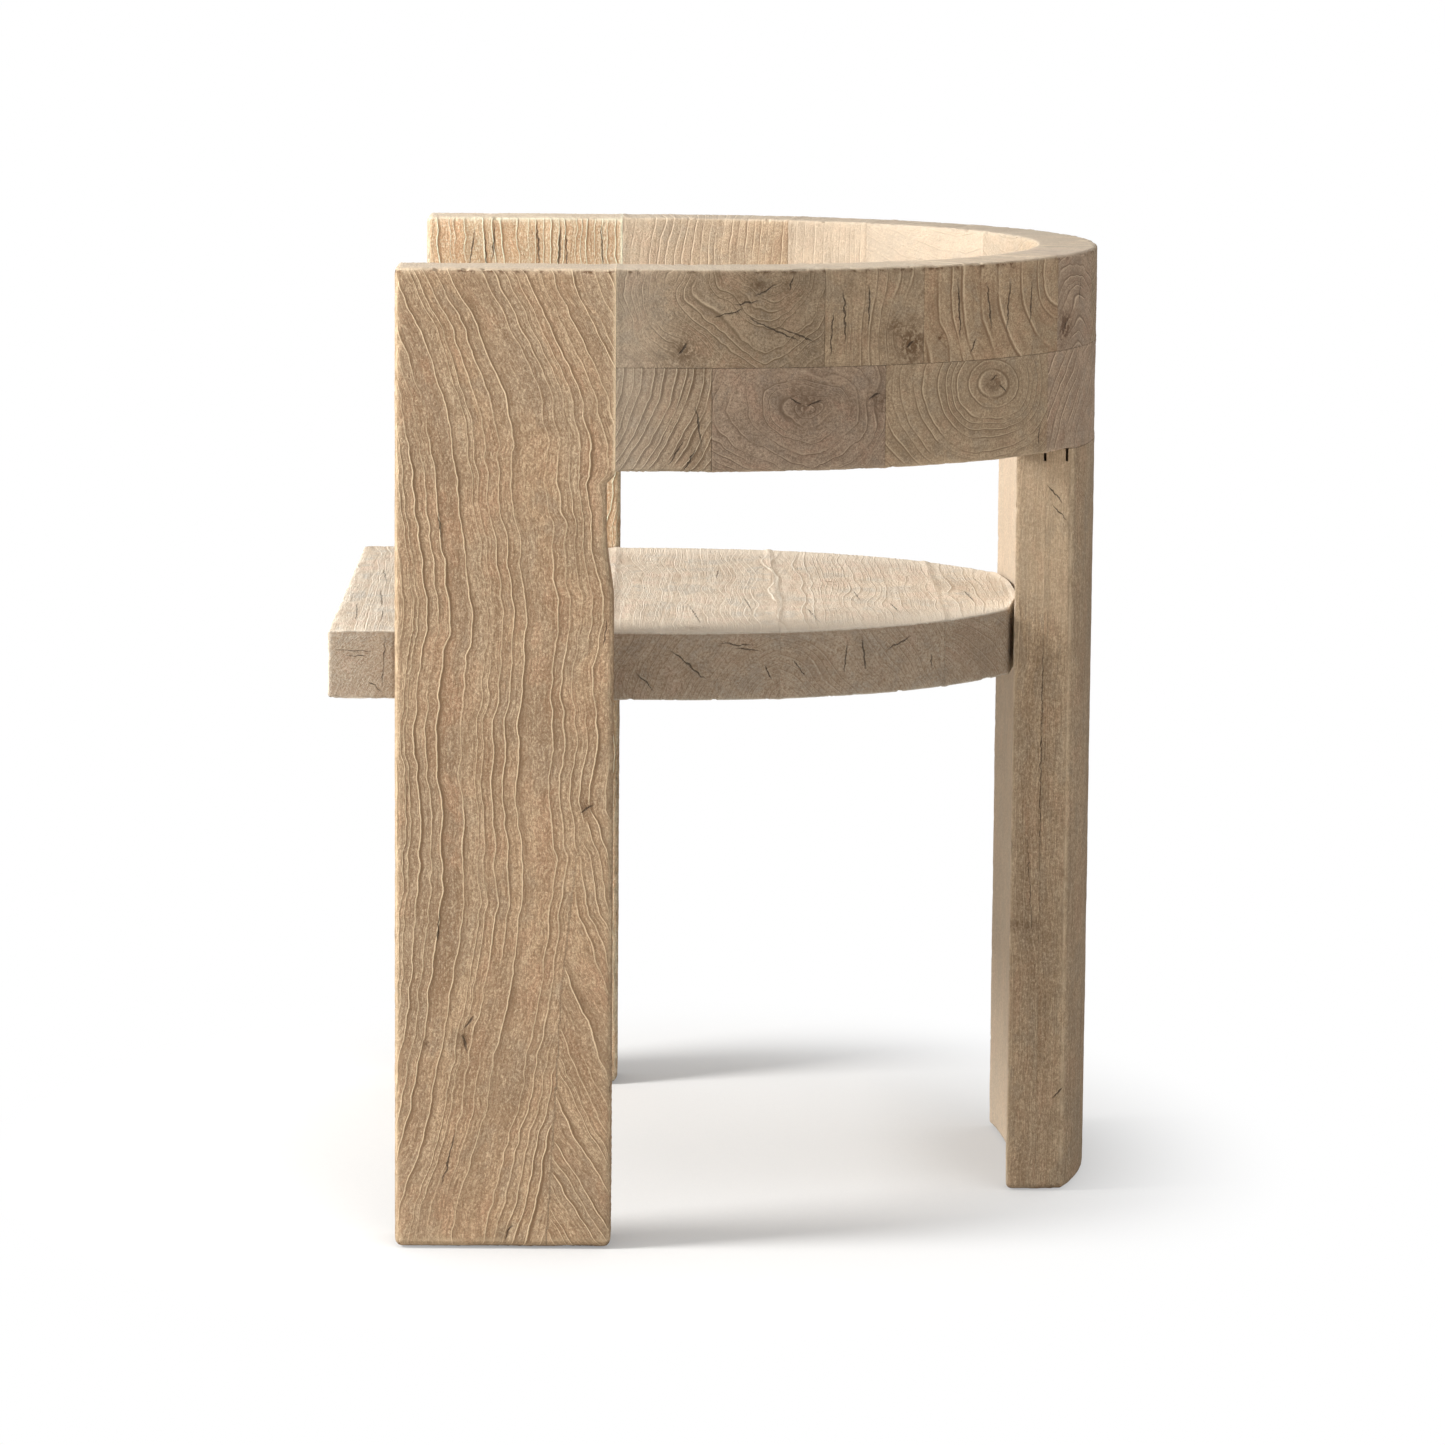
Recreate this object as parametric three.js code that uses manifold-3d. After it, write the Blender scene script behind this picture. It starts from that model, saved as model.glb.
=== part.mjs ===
// A wooden dining chair, in millimetres with +Z up.
// Two broad boards stand on edge as the front legs and run up to the height of the back.
// A curved band, laid like brickwork from two courses of wood blocks, bends round from one
// board to the other as arms and backrest. A third leg, glued up from two planks and shaped
// to the same curve, stands under the middle of the band, and a thick seat lies between.
// The sitter faces -Y. The origin is on the floor, in the middle of the chair.

import * as THREE from 'three';
import Module from 'manifold-3d';

const wasm = await Module();
wasm.setup();

// Overall sizes
const chairHeight = 750;
const chairWidth = 600;

// Front leg boards: thickness across the chair, depth along it
const legBoardThickness = 50;
const legBoardDepth = 166;

// Back band: how far it reaches behind the leg boards, and its run before it starts to bend
const bandReach = 382;
const bandStraight = 42;
const bandThickness = 50;
const lowerCourseHeight = 79;
const upperCourseHeight = 75;

// Seat: its top above the floor, how far it stands out in front of the leg boards, how far its
// curve would run past the band's inner face, and the gap where the rear leg cuts that curve off
const seatHeight = 470;
const seatThickness = 55;
const seatOverhang = 54;
const seatBulge = 4;
const seatRearGap = 3;

// Rear leg: two planks glued face to face, hollowed in front, rounded behind
const rearLegWidth = 224;
const rearLegThickness = 60;
const rearLegHollowRadius = 600;
const rearPlankThickness = 46;

// Tenon on top of the rear plank, and the cut that the saw left beside it
const topTenonThickness = 15;
const topTenonHeight = 40;
const topTenonShoulder = 20;
const sawCutWidth = 2;
const sawCutDepth = 10;

// Worn edges: everywhere, on the band, and round the feet
const edgeRadius = 4;
const bandEdgeRadius = 3;
const footRadius = 6;

// Joint lines of the blocks, as shares of the band's length from a leg board to the middle
const lowerJointShares = [0.132, 0.383, 0.699, 1];
const upperJointShares = [0.29, 0.443, 0.725, 0.87];

// Joint lines of the seat boards, as shares of the seat's length from its front edge
const seatJointShares = [0.155, 0.39, 0.622, 0.855];

// Dowels between the courses, at shares of the same length as the blocks
const dowelShares = [0.095, 0.21, 0.335, 0.415, 0.52, 0.65, 0.79, 0.93];
const dowelDiameter = 12;
const dowelLength = 50;

// Loose tenons: thickness, width and how deep they enter each side
const tenonThickness = 12;
const tenonWidth = 36;
const tenonDepth = 28;
const seatTenonShare = 0.25;
const rearTenonOffset = 50;

// Clearances: along a glue line, and round a tenon or dowel in its hole
const glueLine = 0.3;
const fitClearance = 0.3;

// Facets: the longest step along the band, and the steps of a worn edge
const bandStep = 16;
const edgeSteps = 4;
const dowelSides = 16;
const overrun = 20;

// A corner counts as sharp from this turn up, and narrows to this share where an edge wears into it
const sharpTurn = Math.PI / 9;
const leastCornerShare = 0.3;

// Places that follow from the sizes
const bandHeight = lowerCourseHeight + upperCourseHeight;
const bandBottom = chairHeight - bandHeight;
const courseLine = bandBottom + lowerCourseHeight;
const totalDepth = seatOverhang + legBoardDepth + bandReach;
const frontY = -totalDepth / 2;
const boardFrontY = frontY + seatOverhang;
const boardRearY = boardFrontY + legBoardDepth;
const bendY = boardRearY + bandStraight;
const bandRearY = boardRearY + bandReach;
const innerHalf = chairWidth / 2 - legBoardThickness;
const legFrontY = bandRearY - rearLegThickness;
const gluePlaneY = bandRearY - rearPlankThickness;
const seatBottom = seatHeight - seatThickness;
const seatReach = bandReach - bandThickness + seatBulge;

// Finishes
const finish = (color, roughness) => new THREE.MeshStandardMaterial({ color, roughness, metalness: 0 });
const leftTone = 0xc8a982;
const endGrainTones = [0xa58e72, 0xb09878, 0x9c8468];
const boardTones = [0xdcc9a8, 0xe4d3b4, 0xd6c09c];
const plankTone = 0xb39670;
const hiddenTone = 0xd8bc8c;

const chair = new THREE.Group();

// Add one piece to the chair under its name
function place(name, geometry, color, roughness = 0.8) {
  const mesh = new THREE.Mesh(geometry, finish(color, roughness));
  mesh.name = name;
  chair.add(mesh);
  return mesh;
}

// Join closed rings of points, one after the other, into a closed skin with flat ends
function skin(rings, flat) {
  const count = flat.length;
  const points = rings.flat().flatMap((p) => [p.x, p.y, p.z]);
  const index = [];
  for (let r = 0; r + 1 < rings.length; r += 1) {
    for (let i = 0; i < count; i += 1) {
      const a = r * count + i;
      const b = r * count + (i + 1) % count;
      index.push(a, b, a + count, b, b + count, a + count);
    }
  }
  const last = (rings.length - 1) * count;
  const sense = THREE.ShapeUtils.area(flat) > 0;
  for (const [i, j, k] of THREE.ShapeUtils.triangulateShape(flat, [])) {
    const turn = THREE.ShapeUtils.area([flat[i], flat[j], flat[k]]) > 0;
    const [p, q] = turn === sense ? [j, k] : [k, j];
    index.push(i, q, p);
    index.push(last + i, last + p, last + q);
  }
  const geometry = new THREE.BufferGeometry();
  geometry.setAttribute('position', new THREE.Float32BufferAttribute(points, 3));
  geometry.setIndex(index);
  return faceOut(geometry);
}

// Turn the faces over if the skin came out with its inside outward
function faceOut(geometry) {
  const at = geometry.attributes.position;
  const index = geometry.index.array;
  const [a, b, c] = [new THREE.Vector3(), new THREE.Vector3(), new THREE.Vector3()];
  let volume = 0;
  for (let i = 0; i < index.length; i += 3) {
    a.fromBufferAttribute(at, index[i]);
    b.fromBufferAttribute(at, index[i + 1]);
    c.fromBufferAttribute(at, index[i + 2]);
    volume += a.dot(b.cross(c));
  }
  if (volume < 0) {
    for (let i = 0; i < index.length; i += 3) {
      [index[i + 1], index[i + 2]] = [index[i + 2], index[i + 1]];
    }
  }
  return geometry;
}

// Boolean operations on closed skins
function solidOf(geometry) {
  const vertProperties = Float32Array.from(geometry.attributes.position.array);
  const triVerts = Uint32Array.from(geometry.index.array);
  return new wasm.Manifold(new wasm.Mesh({ numProp: 3, vertProperties, triVerts }));
}

function geometryOf(solid) {
  const mesh = solid.getMesh();
  const geometry = new THREE.BufferGeometry();
  geometry.setAttribute('position', new THREE.BufferAttribute(mesh.vertProperties, 3));
  geometry.setIndex(new THREE.BufferAttribute(mesh.triVerts, 1));
  return geometry;
}

function cut(geometry, ...tools) {
  return geometryOf(tools.reduce((solid, tool) => solid.subtract(solidOf(tool)), solidOf(geometry)));
}

function join(geometry, ...others) {
  return geometryOf(others.reduce((solid, other) => solid.add(solidOf(other)), solidOf(geometry)));
}

function keep(geometry, tool) {
  return geometryOf(solidOf(geometry).intersect(solidOf(tool)));
}

// A plain block between two corners, grown on every side by a margin
function block(from, to, margin = 0) {
  const outline = [
    new THREE.Vector2(from.x - margin, from.y - margin),
    new THREE.Vector2(to.x + margin, from.y - margin),
    new THREE.Vector2(to.x + margin, to.y + margin),
    new THREE.Vector2(from.x - margin, to.y + margin),
  ];
  return prism(outline, from.z - margin, to.z + margin);
}

// An outline in plan, moved inward by a distance, corner by corner
function inset(outline, distance) {
  const count = outline.length;
  const side = THREE.ShapeUtils.area(outline) > 0 ? 1 : -1;
  return outline.map((p, i) => {
    const before = p.clone().sub(outline[(i + count - 1) % count]).normalize();
    const after = outline[(i + 1) % count].clone().sub(p).normalize();
    const mitre = new THREE.Vector2(-before.y - after.y, before.x + after.x).normalize();
    const spread = mitre.dot(new THREE.Vector2(-after.y, after.x));
    return p.clone().addScaledVector(mitre, side * distance / spread);
  });
}

// An upright prism whose corners, lower edge and upper edge are worn round
function prism(outline, bottom, top, cornerRadius = 0, bottomRadius = 0, topRadius = 0) {
  const levels = [];
  const stepsBelow = bottomRadius > 0 ? edgeSteps : 0;
  const stepsAbove = topRadius > 0 ? edgeSteps : 0;
  for (let i = 0; i <= stepsBelow; i += 1) {
    const turn = stepsBelow ? (i / stepsBelow) * Math.PI / 2 : Math.PI / 2;
    const wornShare = 1 - Math.sin(turn);
    levels.push({ z: bottom + bottomRadius * (1 - Math.cos(turn)), depth: bottomRadius * wornShare, wornShare });
  }
  for (let i = 0; i <= stepsAbove; i += 1) {
    const turn = stepsAbove ? (i / stepsAbove) * Math.PI / 2 : 0;
    const wornShare = 1 - Math.cos(turn);
    levels.push({ z: top - topRadius * (1 - Math.sin(turn)), depth: topRadius * wornShare, wornShare });
  }
  const rings = levels.map(({ depth, wornShare }) => {
    const radius = cornerRadius * THREE.MathUtils.lerp(1, leastCornerShare, wornShare);
    return wearCorners(inset(outline, depth), radius);
  });
  return skin(rings.map((ring, i) => ring.map((p) => new THREE.Vector3(p.x, p.y, levels[i].z))), rings[0]);
}

// Wear the sharp corners of an outline round, and leave its smooth curves alone
function wearCorners(outline, radius) {
  if (!radius) return outline;
  const count = outline.length;
  return outline.flatMap((p, i) => {
    const back = outline[(i + count - 1) % count].clone().sub(p);
    const ahead = outline[(i + 1) % count].clone().sub(p);
    const cosine = back.dot(ahead) / back.length() / ahead.length();
    const turn = Math.PI - Math.acos(THREE.MathUtils.clamp(cosine, -1, 1));
    if (turn < sharpTurn) return [p];
    const reach = Math.min(radius * Math.tan(turn / 2), back.length() / 2, ahead.length() / 2);
    const start = p.clone().addScaledVector(back.normalize(), reach);
    const end = p.clone().addScaledVector(ahead.normalize(), reach);
    return new THREE.QuadraticBezierCurve(start, p, end).getPoints(edgeSteps);
  });
}

// The band's course in plan, from the leg board at +X round the back to the one at -X
const bend = new THREE.EllipseCurve(0, bendY, chairWidth / 2, bandReach - bandStraight, 0, Math.PI);
const bendLength = bend.getLength();
const bandLength = 2 * bandStraight + bendLength;

// The plan points of a cross section, this far along the outer face: outside first
function bandSection(along) {
  const inReach = bandReach - bandStraight - bandThickness;
  if (along < bandStraight || along > bandStraight + bendLength) {
    const side = along < bandStraight ? 1 : -1;
    const y = boardRearY + (side > 0 ? along : bandLength - along);
    return [new THREE.Vector2(side * chairWidth / 2, y), new THREE.Vector2(side * innerHalf, y)];
  }
  const angle = bend.getUtoTmapping((along - bandStraight) / bendLength) * Math.PI;
  const [across, back] = [Math.cos(angle), Math.sin(angle)];
  return [
    new THREE.Vector2(chairWidth / 2 * across, bendY + (bandReach - bandStraight) * back),
    new THREE.Vector2(innerHalf * across, bendY + inReach * back),
  ];
}

// One block of the band between two places along it, its outer and inner edges worn round
function bandBlock(from, to, bottom, top, bottomRadius, topRadius) {
  const profile = wearCourse(bottom, top, bottomRadius, topRadius);
  const start = from + glueLine / 2;
  const end = to - glueLine / 2;
  const inside = [bandStraight, bandStraight + bendLength].filter((s) => s > start && s < end);
  const steps = Math.ceil((end - start) / bandStep);
  const stations = Array.from({ length: steps + 1 }, (_, i) => start + (end - start) * i / steps)
    .filter((s) => inside.every((fixed) => Math.abs(s - fixed) > bandStep / 2 || s === start || s === end))
    .concat(inside)
    .sort((a, b) => a - b);
  const rings = stations.map((along) => {
    const [outer, inner] = bandSection(along);
    return profile.map((p) => {
      const plan = outer.clone().lerp(inner, p.x / bandThickness);
      return new THREE.Vector3(plan.x, plan.y, p.y);
    });
  });
  return skin(rings, profile);
}

// The cross section of a course: depth into the band, and height
function wearCourse(bottom, top, bottomRadius, topRadius) {
  const corners = [
    [0, bottom, bottomRadius],
    [bandThickness, bottom, bottomRadius],
    [bandThickness, top, topRadius],
    [0, top, topRadius],
  ].map(([x, y, radius]) => ({ point: new THREE.Vector2(x, y), radius }));
  return corners.flatMap(({ point, radius }, i) => {
    if (!radius) return [point];
    const towards = (other) => other.point.clone().sub(point).setLength(radius).add(point);
    const start = towards(corners[(i + 3) % 4]);
    const end = towards(corners[(i + 1) % 4]);
    return new THREE.QuadraticBezierCurve(start, point, end).getPoints(edgeSteps);
  });
}

// Places of the joint lines along the whole band, mirrored about its middle
function jointsAlong(shares) {
  const half = shares.map((share) => share * bandLength / 2);
  const mirrored = half.filter((s) => s < bandLength / 2).map((s) => bandLength - s).reverse();
  return [0, ...half, ...mirrored, bandLength];
}

// Dowels stand across the joint between the courses, in the middle of the band's thickness
const dowelPlaces = dowelShares
  .flatMap((share) => [share, 2 - share])
  .sort((a, b) => a - b)
  .map((share) => {
    const along = share * bandLength / 2;
    const [outer, inner] = bandSection(along);
    return { along, centre: outer.clone().lerp(inner, 1 / 2) };
  });

function dowel(centre, radius, length) {
  const circle = new THREE.EllipseCurve(centre.x, centre.y, radius, radius);
  return prism(circle.getPoints(dowelSides).slice(1), courseLine - length / 2, courseLine + length / 2);
}

// A loose tenon between two pieces: the box that it fills, given the middle of the joint
function looseTenon(centre, size) {
  const half = size.clone().multiplyScalar(1 / 2);
  return [centre.clone().sub(half), centre.clone().add(half)];
}

// Loose tenons from the leg boards into the ends of the band, one in each course
const bandTenons = [];
for (const [side, sign] of [['left', 1], ['right', -1]]) {
  for (const [course, z] of [['lower', bandBottom + lowerCourseHeight / 2],
    ['upper', courseLine + upperCourseHeight / 2]]) {
    const centre = new THREE.Vector3(sign * (chairWidth - legBoardThickness) / 2, boardRearY, z);
    const size = new THREE.Vector3(tenonThickness, 2 * tenonDepth, tenonWidth);
    bandTenons.push({ name: `band_tenon_${course}_${side}`, side, course, box: looseTenon(centre, size) });
  }
}

// Joint lines of the seat boards, and the loose tenons that carry the seat
const seatLength = seatOverhang + legBoardDepth + seatReach;
const seatJoints = seatJointShares.map((share) => frontY + share * seatLength);
const seatMiddle = seatHeight - seatThickness / 2;
const seatTenons = [];
for (const [side, sign] of [['left', 1], ['right', -1]]) {
  const boardCentre = (seatJoints[0] + seatJoints[1]) / 2;
  const boardWidth = seatJoints[1] - seatJoints[0];
  for (const [place, way] of [['front', -1], ['rear', 1]]) {
    const y = boardCentre + way * seatTenonShare * boardWidth;
    const centre = new THREE.Vector3(sign * innerHalf, y, seatMiddle);
    const size = new THREE.Vector3(2 * tenonDepth, tenonWidth, tenonThickness);
    seatTenons.push({ name: `seat_tenon_${place}_${side}`, side, box: looseTenon(centre, size) });
  }
}

// The front face of the rear leg is a shallow hollow: its place at a distance from the middle
const hollowY = (x) => legFrontY - rearLegHollowRadius + Math.sqrt(rearLegHollowRadius ** 2 - x ** 2);

const rearTenons = [['left', 1], ['right', -1]].map(([side, sign]) => {
  const x = sign * rearTenonOffset;
  const centre = new THREE.Vector3(x, hollowY(x), seatMiddle);
  const size = new THREE.Vector3(tenonWidth, 2 * tenonDepth, tenonThickness);
  return { name: `rear_tenon_${side}`, box: looseTenon(centre, size) };
});

const mortise = (tenon) => block(...tenon.box, fitClearance);

// Front leg boards
for (const [side, sign] of [['left', 1], ['right', -1]]) {
  const outerX = sign * chairWidth / 2;
  const innerX = sign * innerHalf;
  const outline = [
    new THREE.Vector2(Math.min(outerX, innerX), boardFrontY),
    new THREE.Vector2(Math.max(outerX, innerX), boardFrontY),
    new THREE.Vector2(Math.max(outerX, innerX), boardRearY),
    new THREE.Vector2(Math.min(outerX, innerX), boardRearY),
  ];
  const board = prism(outline, 0, chairHeight, edgeRadius, footRadius, edgeRadius);
  const pockets = [...bandTenons, ...seatTenons].filter((tenon) => tenon.side === side).map(mortise);
  place(`front_leg_${side}`, cut(board, ...pockets), leftTone);
}

// Rear leg: outline in plan, from the hollow front round the curved back
const legAngle = Math.acos(rearLegWidth / chairWidth);
const legBack = new THREE.EllipseCurve(0, bendY, chairWidth / 2, bandReach - bandStraight,
  legAngle, Math.PI - legAngle);
const hollowHalfAngle = Math.asin(rearLegWidth / 2 / rearLegHollowRadius);
const legHollow = new THREE.EllipseCurve(0, legFrontY - rearLegHollowRadius, rearLegHollowRadius,
  rearLegHollowRadius, Math.PI / 2 + hollowHalfAngle, Math.PI / 2 - hollowHalfAngle, true);
const legSteps = Math.ceil(rearLegWidth / bandStep);
const legOutline = [...legBack.getSpacedPoints(legSteps), ...legHollow.getSpacedPoints(legSteps)];
const legTop = bandBottom - glueLine;
const wholeLeg = prism(legOutline, 0, legTop, edgeRadius, footRadius);

// The glue plane parts it into a thin front plank and a thick rear plank
const legReach = rearLegWidth / 2;
const frontHalf = block(
  new THREE.Vector3(-legReach, legFrontY - rearLegWidth, 0),
  new THREE.Vector3(legReach, gluePlaneY - glueLine / 2 - overrun, legTop), overrun);
const rearHalf = block(
  new THREE.Vector3(-legReach, gluePlaneY + glueLine / 2 + overrun, 0),
  new THREE.Vector3(legReach, bandRearY, legTop), overrun);

// The rear plank carries the tenon: flush with the glue plane in front, shouldered elsewhere
const topTenonHalf = legReach - topTenonShoulder;
const topTenon = [
  new THREE.Vector3(-topTenonHalf, gluePlaneY + glueLine / 2, legTop - topTenonHeight),
  new THREE.Vector3(topTenonHalf, gluePlaneY + glueLine / 2 + topTenonThickness, legTop + topTenonHeight),
];
const sawCut = block(
  new THREE.Vector3(-legReach - overrun, topTenon[1].y, legTop - sawCutDepth),
  new THREE.Vector3(legReach + overrun, topTenon[1].y + sawCutWidth, legTop + overrun));
const rearPockets = rearTenons.map(mortise);
place('rear_leg_front_plank', cut(keep(wholeLeg, frontHalf), ...rearPockets), plankTone);
place('rear_leg_rear_plank',
  cut(join(cut(keep(wholeLeg, rearHalf), sawCut), block(...topTenon)), ...rearPockets), plankTone);

// Band: two courses of blocks, each with holes for its dowels, the tenons and the rear leg
const topMortise = block(topTenon[0], topTenon[1], fitClearance);
const dowelHoles = dowelPlaces.map(({ centre, along }) => ({
  along,
  hole: dowel(centre, dowelDiameter / 2 + fitClearance, dowelLength + 2 * fitClearance),
}));
function layCourse(name, shares, bottom, top, bottomRadius, topRadius) {
  const joints = jointsAlong(shares);
  for (let i = 0; i + 1 < joints.length; i += 1) {
    const [from, to] = [joints[i] + (i === 0 ? glueLine / 2 : 0),
      joints[i + 1] - (i + 2 === joints.length ? glueLine / 2 : 0)];
    const body = bandBlock(from, to, bottom, top, bottomRadius, topRadius);
    const tools = dowelHoles.filter((d) => d.along > from && d.along < to).map((d) => d.hole);
    const end = i === 0 ? 'left' : 'right';
    if (i === 0 || i + 2 === joints.length) {
      tools.push(...bandTenons.filter((t) => t.course === name && t.side === end).map(mortise));
    }
    const middle = (from + to) / 2 / bandLength;
    if (name === 'lower' && middle > 1 / 4 && middle < 3 / 4) tools.push(topMortise);
    const tone = endGrainTones[(i + shares.length) % endGrainTones.length];
    place(`band_${name}_block_${i + 1}`, cut(body, ...tools), tone);
  }
}
layCourse('lower', lowerJointShares, bandBottom, courseLine - glueLine / 2, bandEdgeRadius, 0);
layCourse('upper', upperJointShares, courseLine + glueLine / 2, chairHeight, 0, bandEdgeRadius);

// Seat: straight sides between the leg boards, a curved rear, and a hollow that follows the leg
const seatHalf = innerHalf - fitClearance;
const seatBend = new THREE.EllipseCurve(0, bendY, seatHalf, seatReach - bandStraight, 0, Math.PI);
const seatSteps = Math.ceil(seatBend.getLength() / bandStep);
const seatOutline = [
  new THREE.Vector2(-seatHalf, frontY),
  new THREE.Vector2(seatHalf, frontY),
  ...seatBend.getSpacedPoints(seatSteps),
];
const hollowRoom = new THREE.EllipseCurve(0, legFrontY - rearLegHollowRadius - seatRearGap,
  rearLegHollowRadius, rearLegHollowRadius, Math.PI / 2 + hollowHalfAngle, Math.PI / 2 - hollowHalfAngle, true);
const behindSeat = prism([
  ...hollowRoom.getSpacedPoints(legSteps),
  new THREE.Vector2(legReach, bandRearY),
  new THREE.Vector2(-legReach, bandRearY),
], seatBottom - overrun, seatHeight + overrun);
const seatPlank = prism(seatOutline, seatBottom, seatHeight, edgeRadius, edgeRadius, edgeRadius);
const wholeSeat = cut(seatPlank, behindSeat);
const seatEdges = [frontY - overrun, ...seatJoints, bandRearY];
for (let i = 0; i + 1 < seatEdges.length; i += 1) {
  const slice = block(
    new THREE.Vector3(-innerHalf, seatEdges[i] + glueLine / 2, seatBottom - overrun),
    new THREE.Vector3(innerHalf, seatEdges[i + 1] - glueLine / 2, seatHeight + overrun));
  const pockets = [...seatTenons, ...rearTenons].map(mortise);
  place(`seat_board_${i + 1}`, cut(keep(wholeSeat, slice), ...pockets), boardTones[i % boardTones.length]);
}

// Hidden joinery
for (const tenon of [...bandTenons, ...seatTenons, ...rearTenons]) {
  place(tenon.name, block(...tenon.box), hiddenTone, 0.9);
}
dowelPlaces.forEach(({ centre }, i) => {
  place(`course_dowel_${i + 1}`, dowel(centre, dowelDiameter / 2, dowelLength), hiddenTone, 0.9);
});

export default chair;
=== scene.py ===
# %% [markdown]
# # A weathered wooden dining chair
#
# The chair is built of heavy old timber: two front leg boards that run from the floor to the top
# of the back, a band of blocks laid in two courses that curves round behind the sitter, a thick
# seat of glued boards, and one broad rear leg. The solids come first and fix every size.
# Everything made here is worked out of blocks that have exactly those sizes.

# %% The solids, and the box that they fill
import math

import bpy
import numpy as np
from mathutils import Euler, Matrix, Vector


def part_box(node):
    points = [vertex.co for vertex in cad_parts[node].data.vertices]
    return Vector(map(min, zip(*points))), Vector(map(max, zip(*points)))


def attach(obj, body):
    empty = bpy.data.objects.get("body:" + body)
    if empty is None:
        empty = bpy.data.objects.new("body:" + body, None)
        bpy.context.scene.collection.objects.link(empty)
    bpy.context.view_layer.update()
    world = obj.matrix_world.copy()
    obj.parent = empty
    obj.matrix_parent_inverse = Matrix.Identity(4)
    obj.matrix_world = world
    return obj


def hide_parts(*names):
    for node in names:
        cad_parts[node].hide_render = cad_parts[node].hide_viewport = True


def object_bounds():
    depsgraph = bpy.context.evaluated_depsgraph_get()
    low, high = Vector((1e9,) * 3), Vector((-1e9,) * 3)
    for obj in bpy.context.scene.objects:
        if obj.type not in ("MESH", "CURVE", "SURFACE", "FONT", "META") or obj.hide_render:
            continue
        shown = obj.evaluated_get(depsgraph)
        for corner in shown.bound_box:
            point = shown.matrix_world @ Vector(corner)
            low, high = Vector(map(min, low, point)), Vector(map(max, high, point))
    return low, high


MM = 0.001
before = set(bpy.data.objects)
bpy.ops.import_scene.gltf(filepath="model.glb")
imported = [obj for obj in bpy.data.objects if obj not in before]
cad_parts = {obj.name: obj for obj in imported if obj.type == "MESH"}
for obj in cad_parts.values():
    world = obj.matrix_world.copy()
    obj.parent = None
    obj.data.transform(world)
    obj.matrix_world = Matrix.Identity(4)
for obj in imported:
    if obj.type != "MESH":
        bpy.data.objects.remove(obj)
cad_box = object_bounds()
chair_top = cad_box[1][2]
scene = bpy.context.scene
print("solids:", len(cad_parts), "box:", [tuple(round(v, 4) for v in c) for c in cad_box])

# %% [markdown]
# ## Camera
#
# The chair is seen from its left side with a long lens, from a little over four metres away and
# a head's height above the seat. The lens is tilted down only as far as the upright edges allow,
# and a small shift of the film does the rest, as an architecture photographer would do it.

# %% Camera
frame_pixels = 1445
focal_pixels = 5393.2
film_width = 36.0
film_shift = -0.1
camera_place = (4.3088, -0.0447, 1.0642)
camera_tilt = math.radians(7.767)
camera_turn = math.radians(0.636)
camera_roll = math.radians(0.453)

aim = Euler((math.pi / 2 - camera_tilt, 0, math.pi / 2 - camera_turn)).to_matrix()
aim = aim @ Matrix.Rotation(camera_roll, 3, "Z")
bpy.ops.object.select_all(action="DESELECT")
bpy.ops.object.camera_add(location=camera_place, rotation=aim.to_euler())
camera = bpy.context.object
camera.data.sensor_width = film_width
camera.data.lens = focal_pixels / frame_pixels * film_width
camera.data.shift_y = film_shift
camera.data.clip_end = 50
scene.camera = camera
scene.view_settings.view_transform = "Standard"
print("lens:", round(camera.data.lens, 1), "mm")

# %% [markdown]
# ## Light, floor and background
#
# A soft lamp stands in front of the chair and above it. It brightens the seat, the inner side of
# the back and every edge that faces forward, and it rakes along the side faces, where it brings
# out the raised grain. A broad weak lamp lights the near side, and a third one, low in front,
# reaches under the seat to the rear leg. A pale even surrounding fills the shade. The floor is
# white to the camera and keeps a soft shadow, deepened round the feet and under the chair by
# painted shade, and away from the chair it fades into the white background.

# %% Lamps and surroundings
lamp_target = Vector((0, 0, 0.35))
room_color, room_strength = (1, 0.99, 0.975, 1), 0.30
background = (1, 1, 1, 1)


def hang_softbox(name, direction, distance, size, watts, color):
    """A round soft lamp that looks at the middle of the chair from the given direction."""
    direction = Vector(direction).normalized()
    bpy.ops.object.light_add(type="AREA", location=lamp_target + direction * distance)
    lamp = bpy.context.object
    lamp.name = name
    lamp.rotation_euler = (-direction).to_track_quat("-Z", "Y").to_euler()
    lamp.data.shape = "DISK"
    lamp.data.size = size
    lamp.data.energy = watts
    lamp.data.color = color
    print(name, watts, "W at", tuple(round(v, 2) for v in lamp.location))


hang_softbox("front_softbox", (0.22, -0.80, 0.52), 3.2, 1.0, 154, (1, 0.985, 0.96))
hang_softbox("side_softbox", (0.84, 0.42, 0.34), 3.6, 2.6, 46, (1, 0.985, 0.96))
hang_softbox("low_softbox", (0, -1, 0.06), 3.4, 1.6, 22, (1, 0.95, 0.88))

world = bpy.data.worlds.new("pale_room")
scene.world = world
world.use_nodes = True
world.node_tree.nodes.clear()


def wire(tree, kind, sockets=None, **settings):
    """Adds a node, sets it up and feeds its sockets with values or with other nodes' outputs."""
    node = tree.nodes.new(kind)
    for name, value in settings.items():
        setattr(node, name, value)
    for key, value in (sockets or {}).items():
        if isinstance(value, bpy.types.NodeSocket):
            tree.links.new(value, node.inputs[key])
        else:
            node.inputs[key].default_value = value
    return node.outputs


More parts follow.
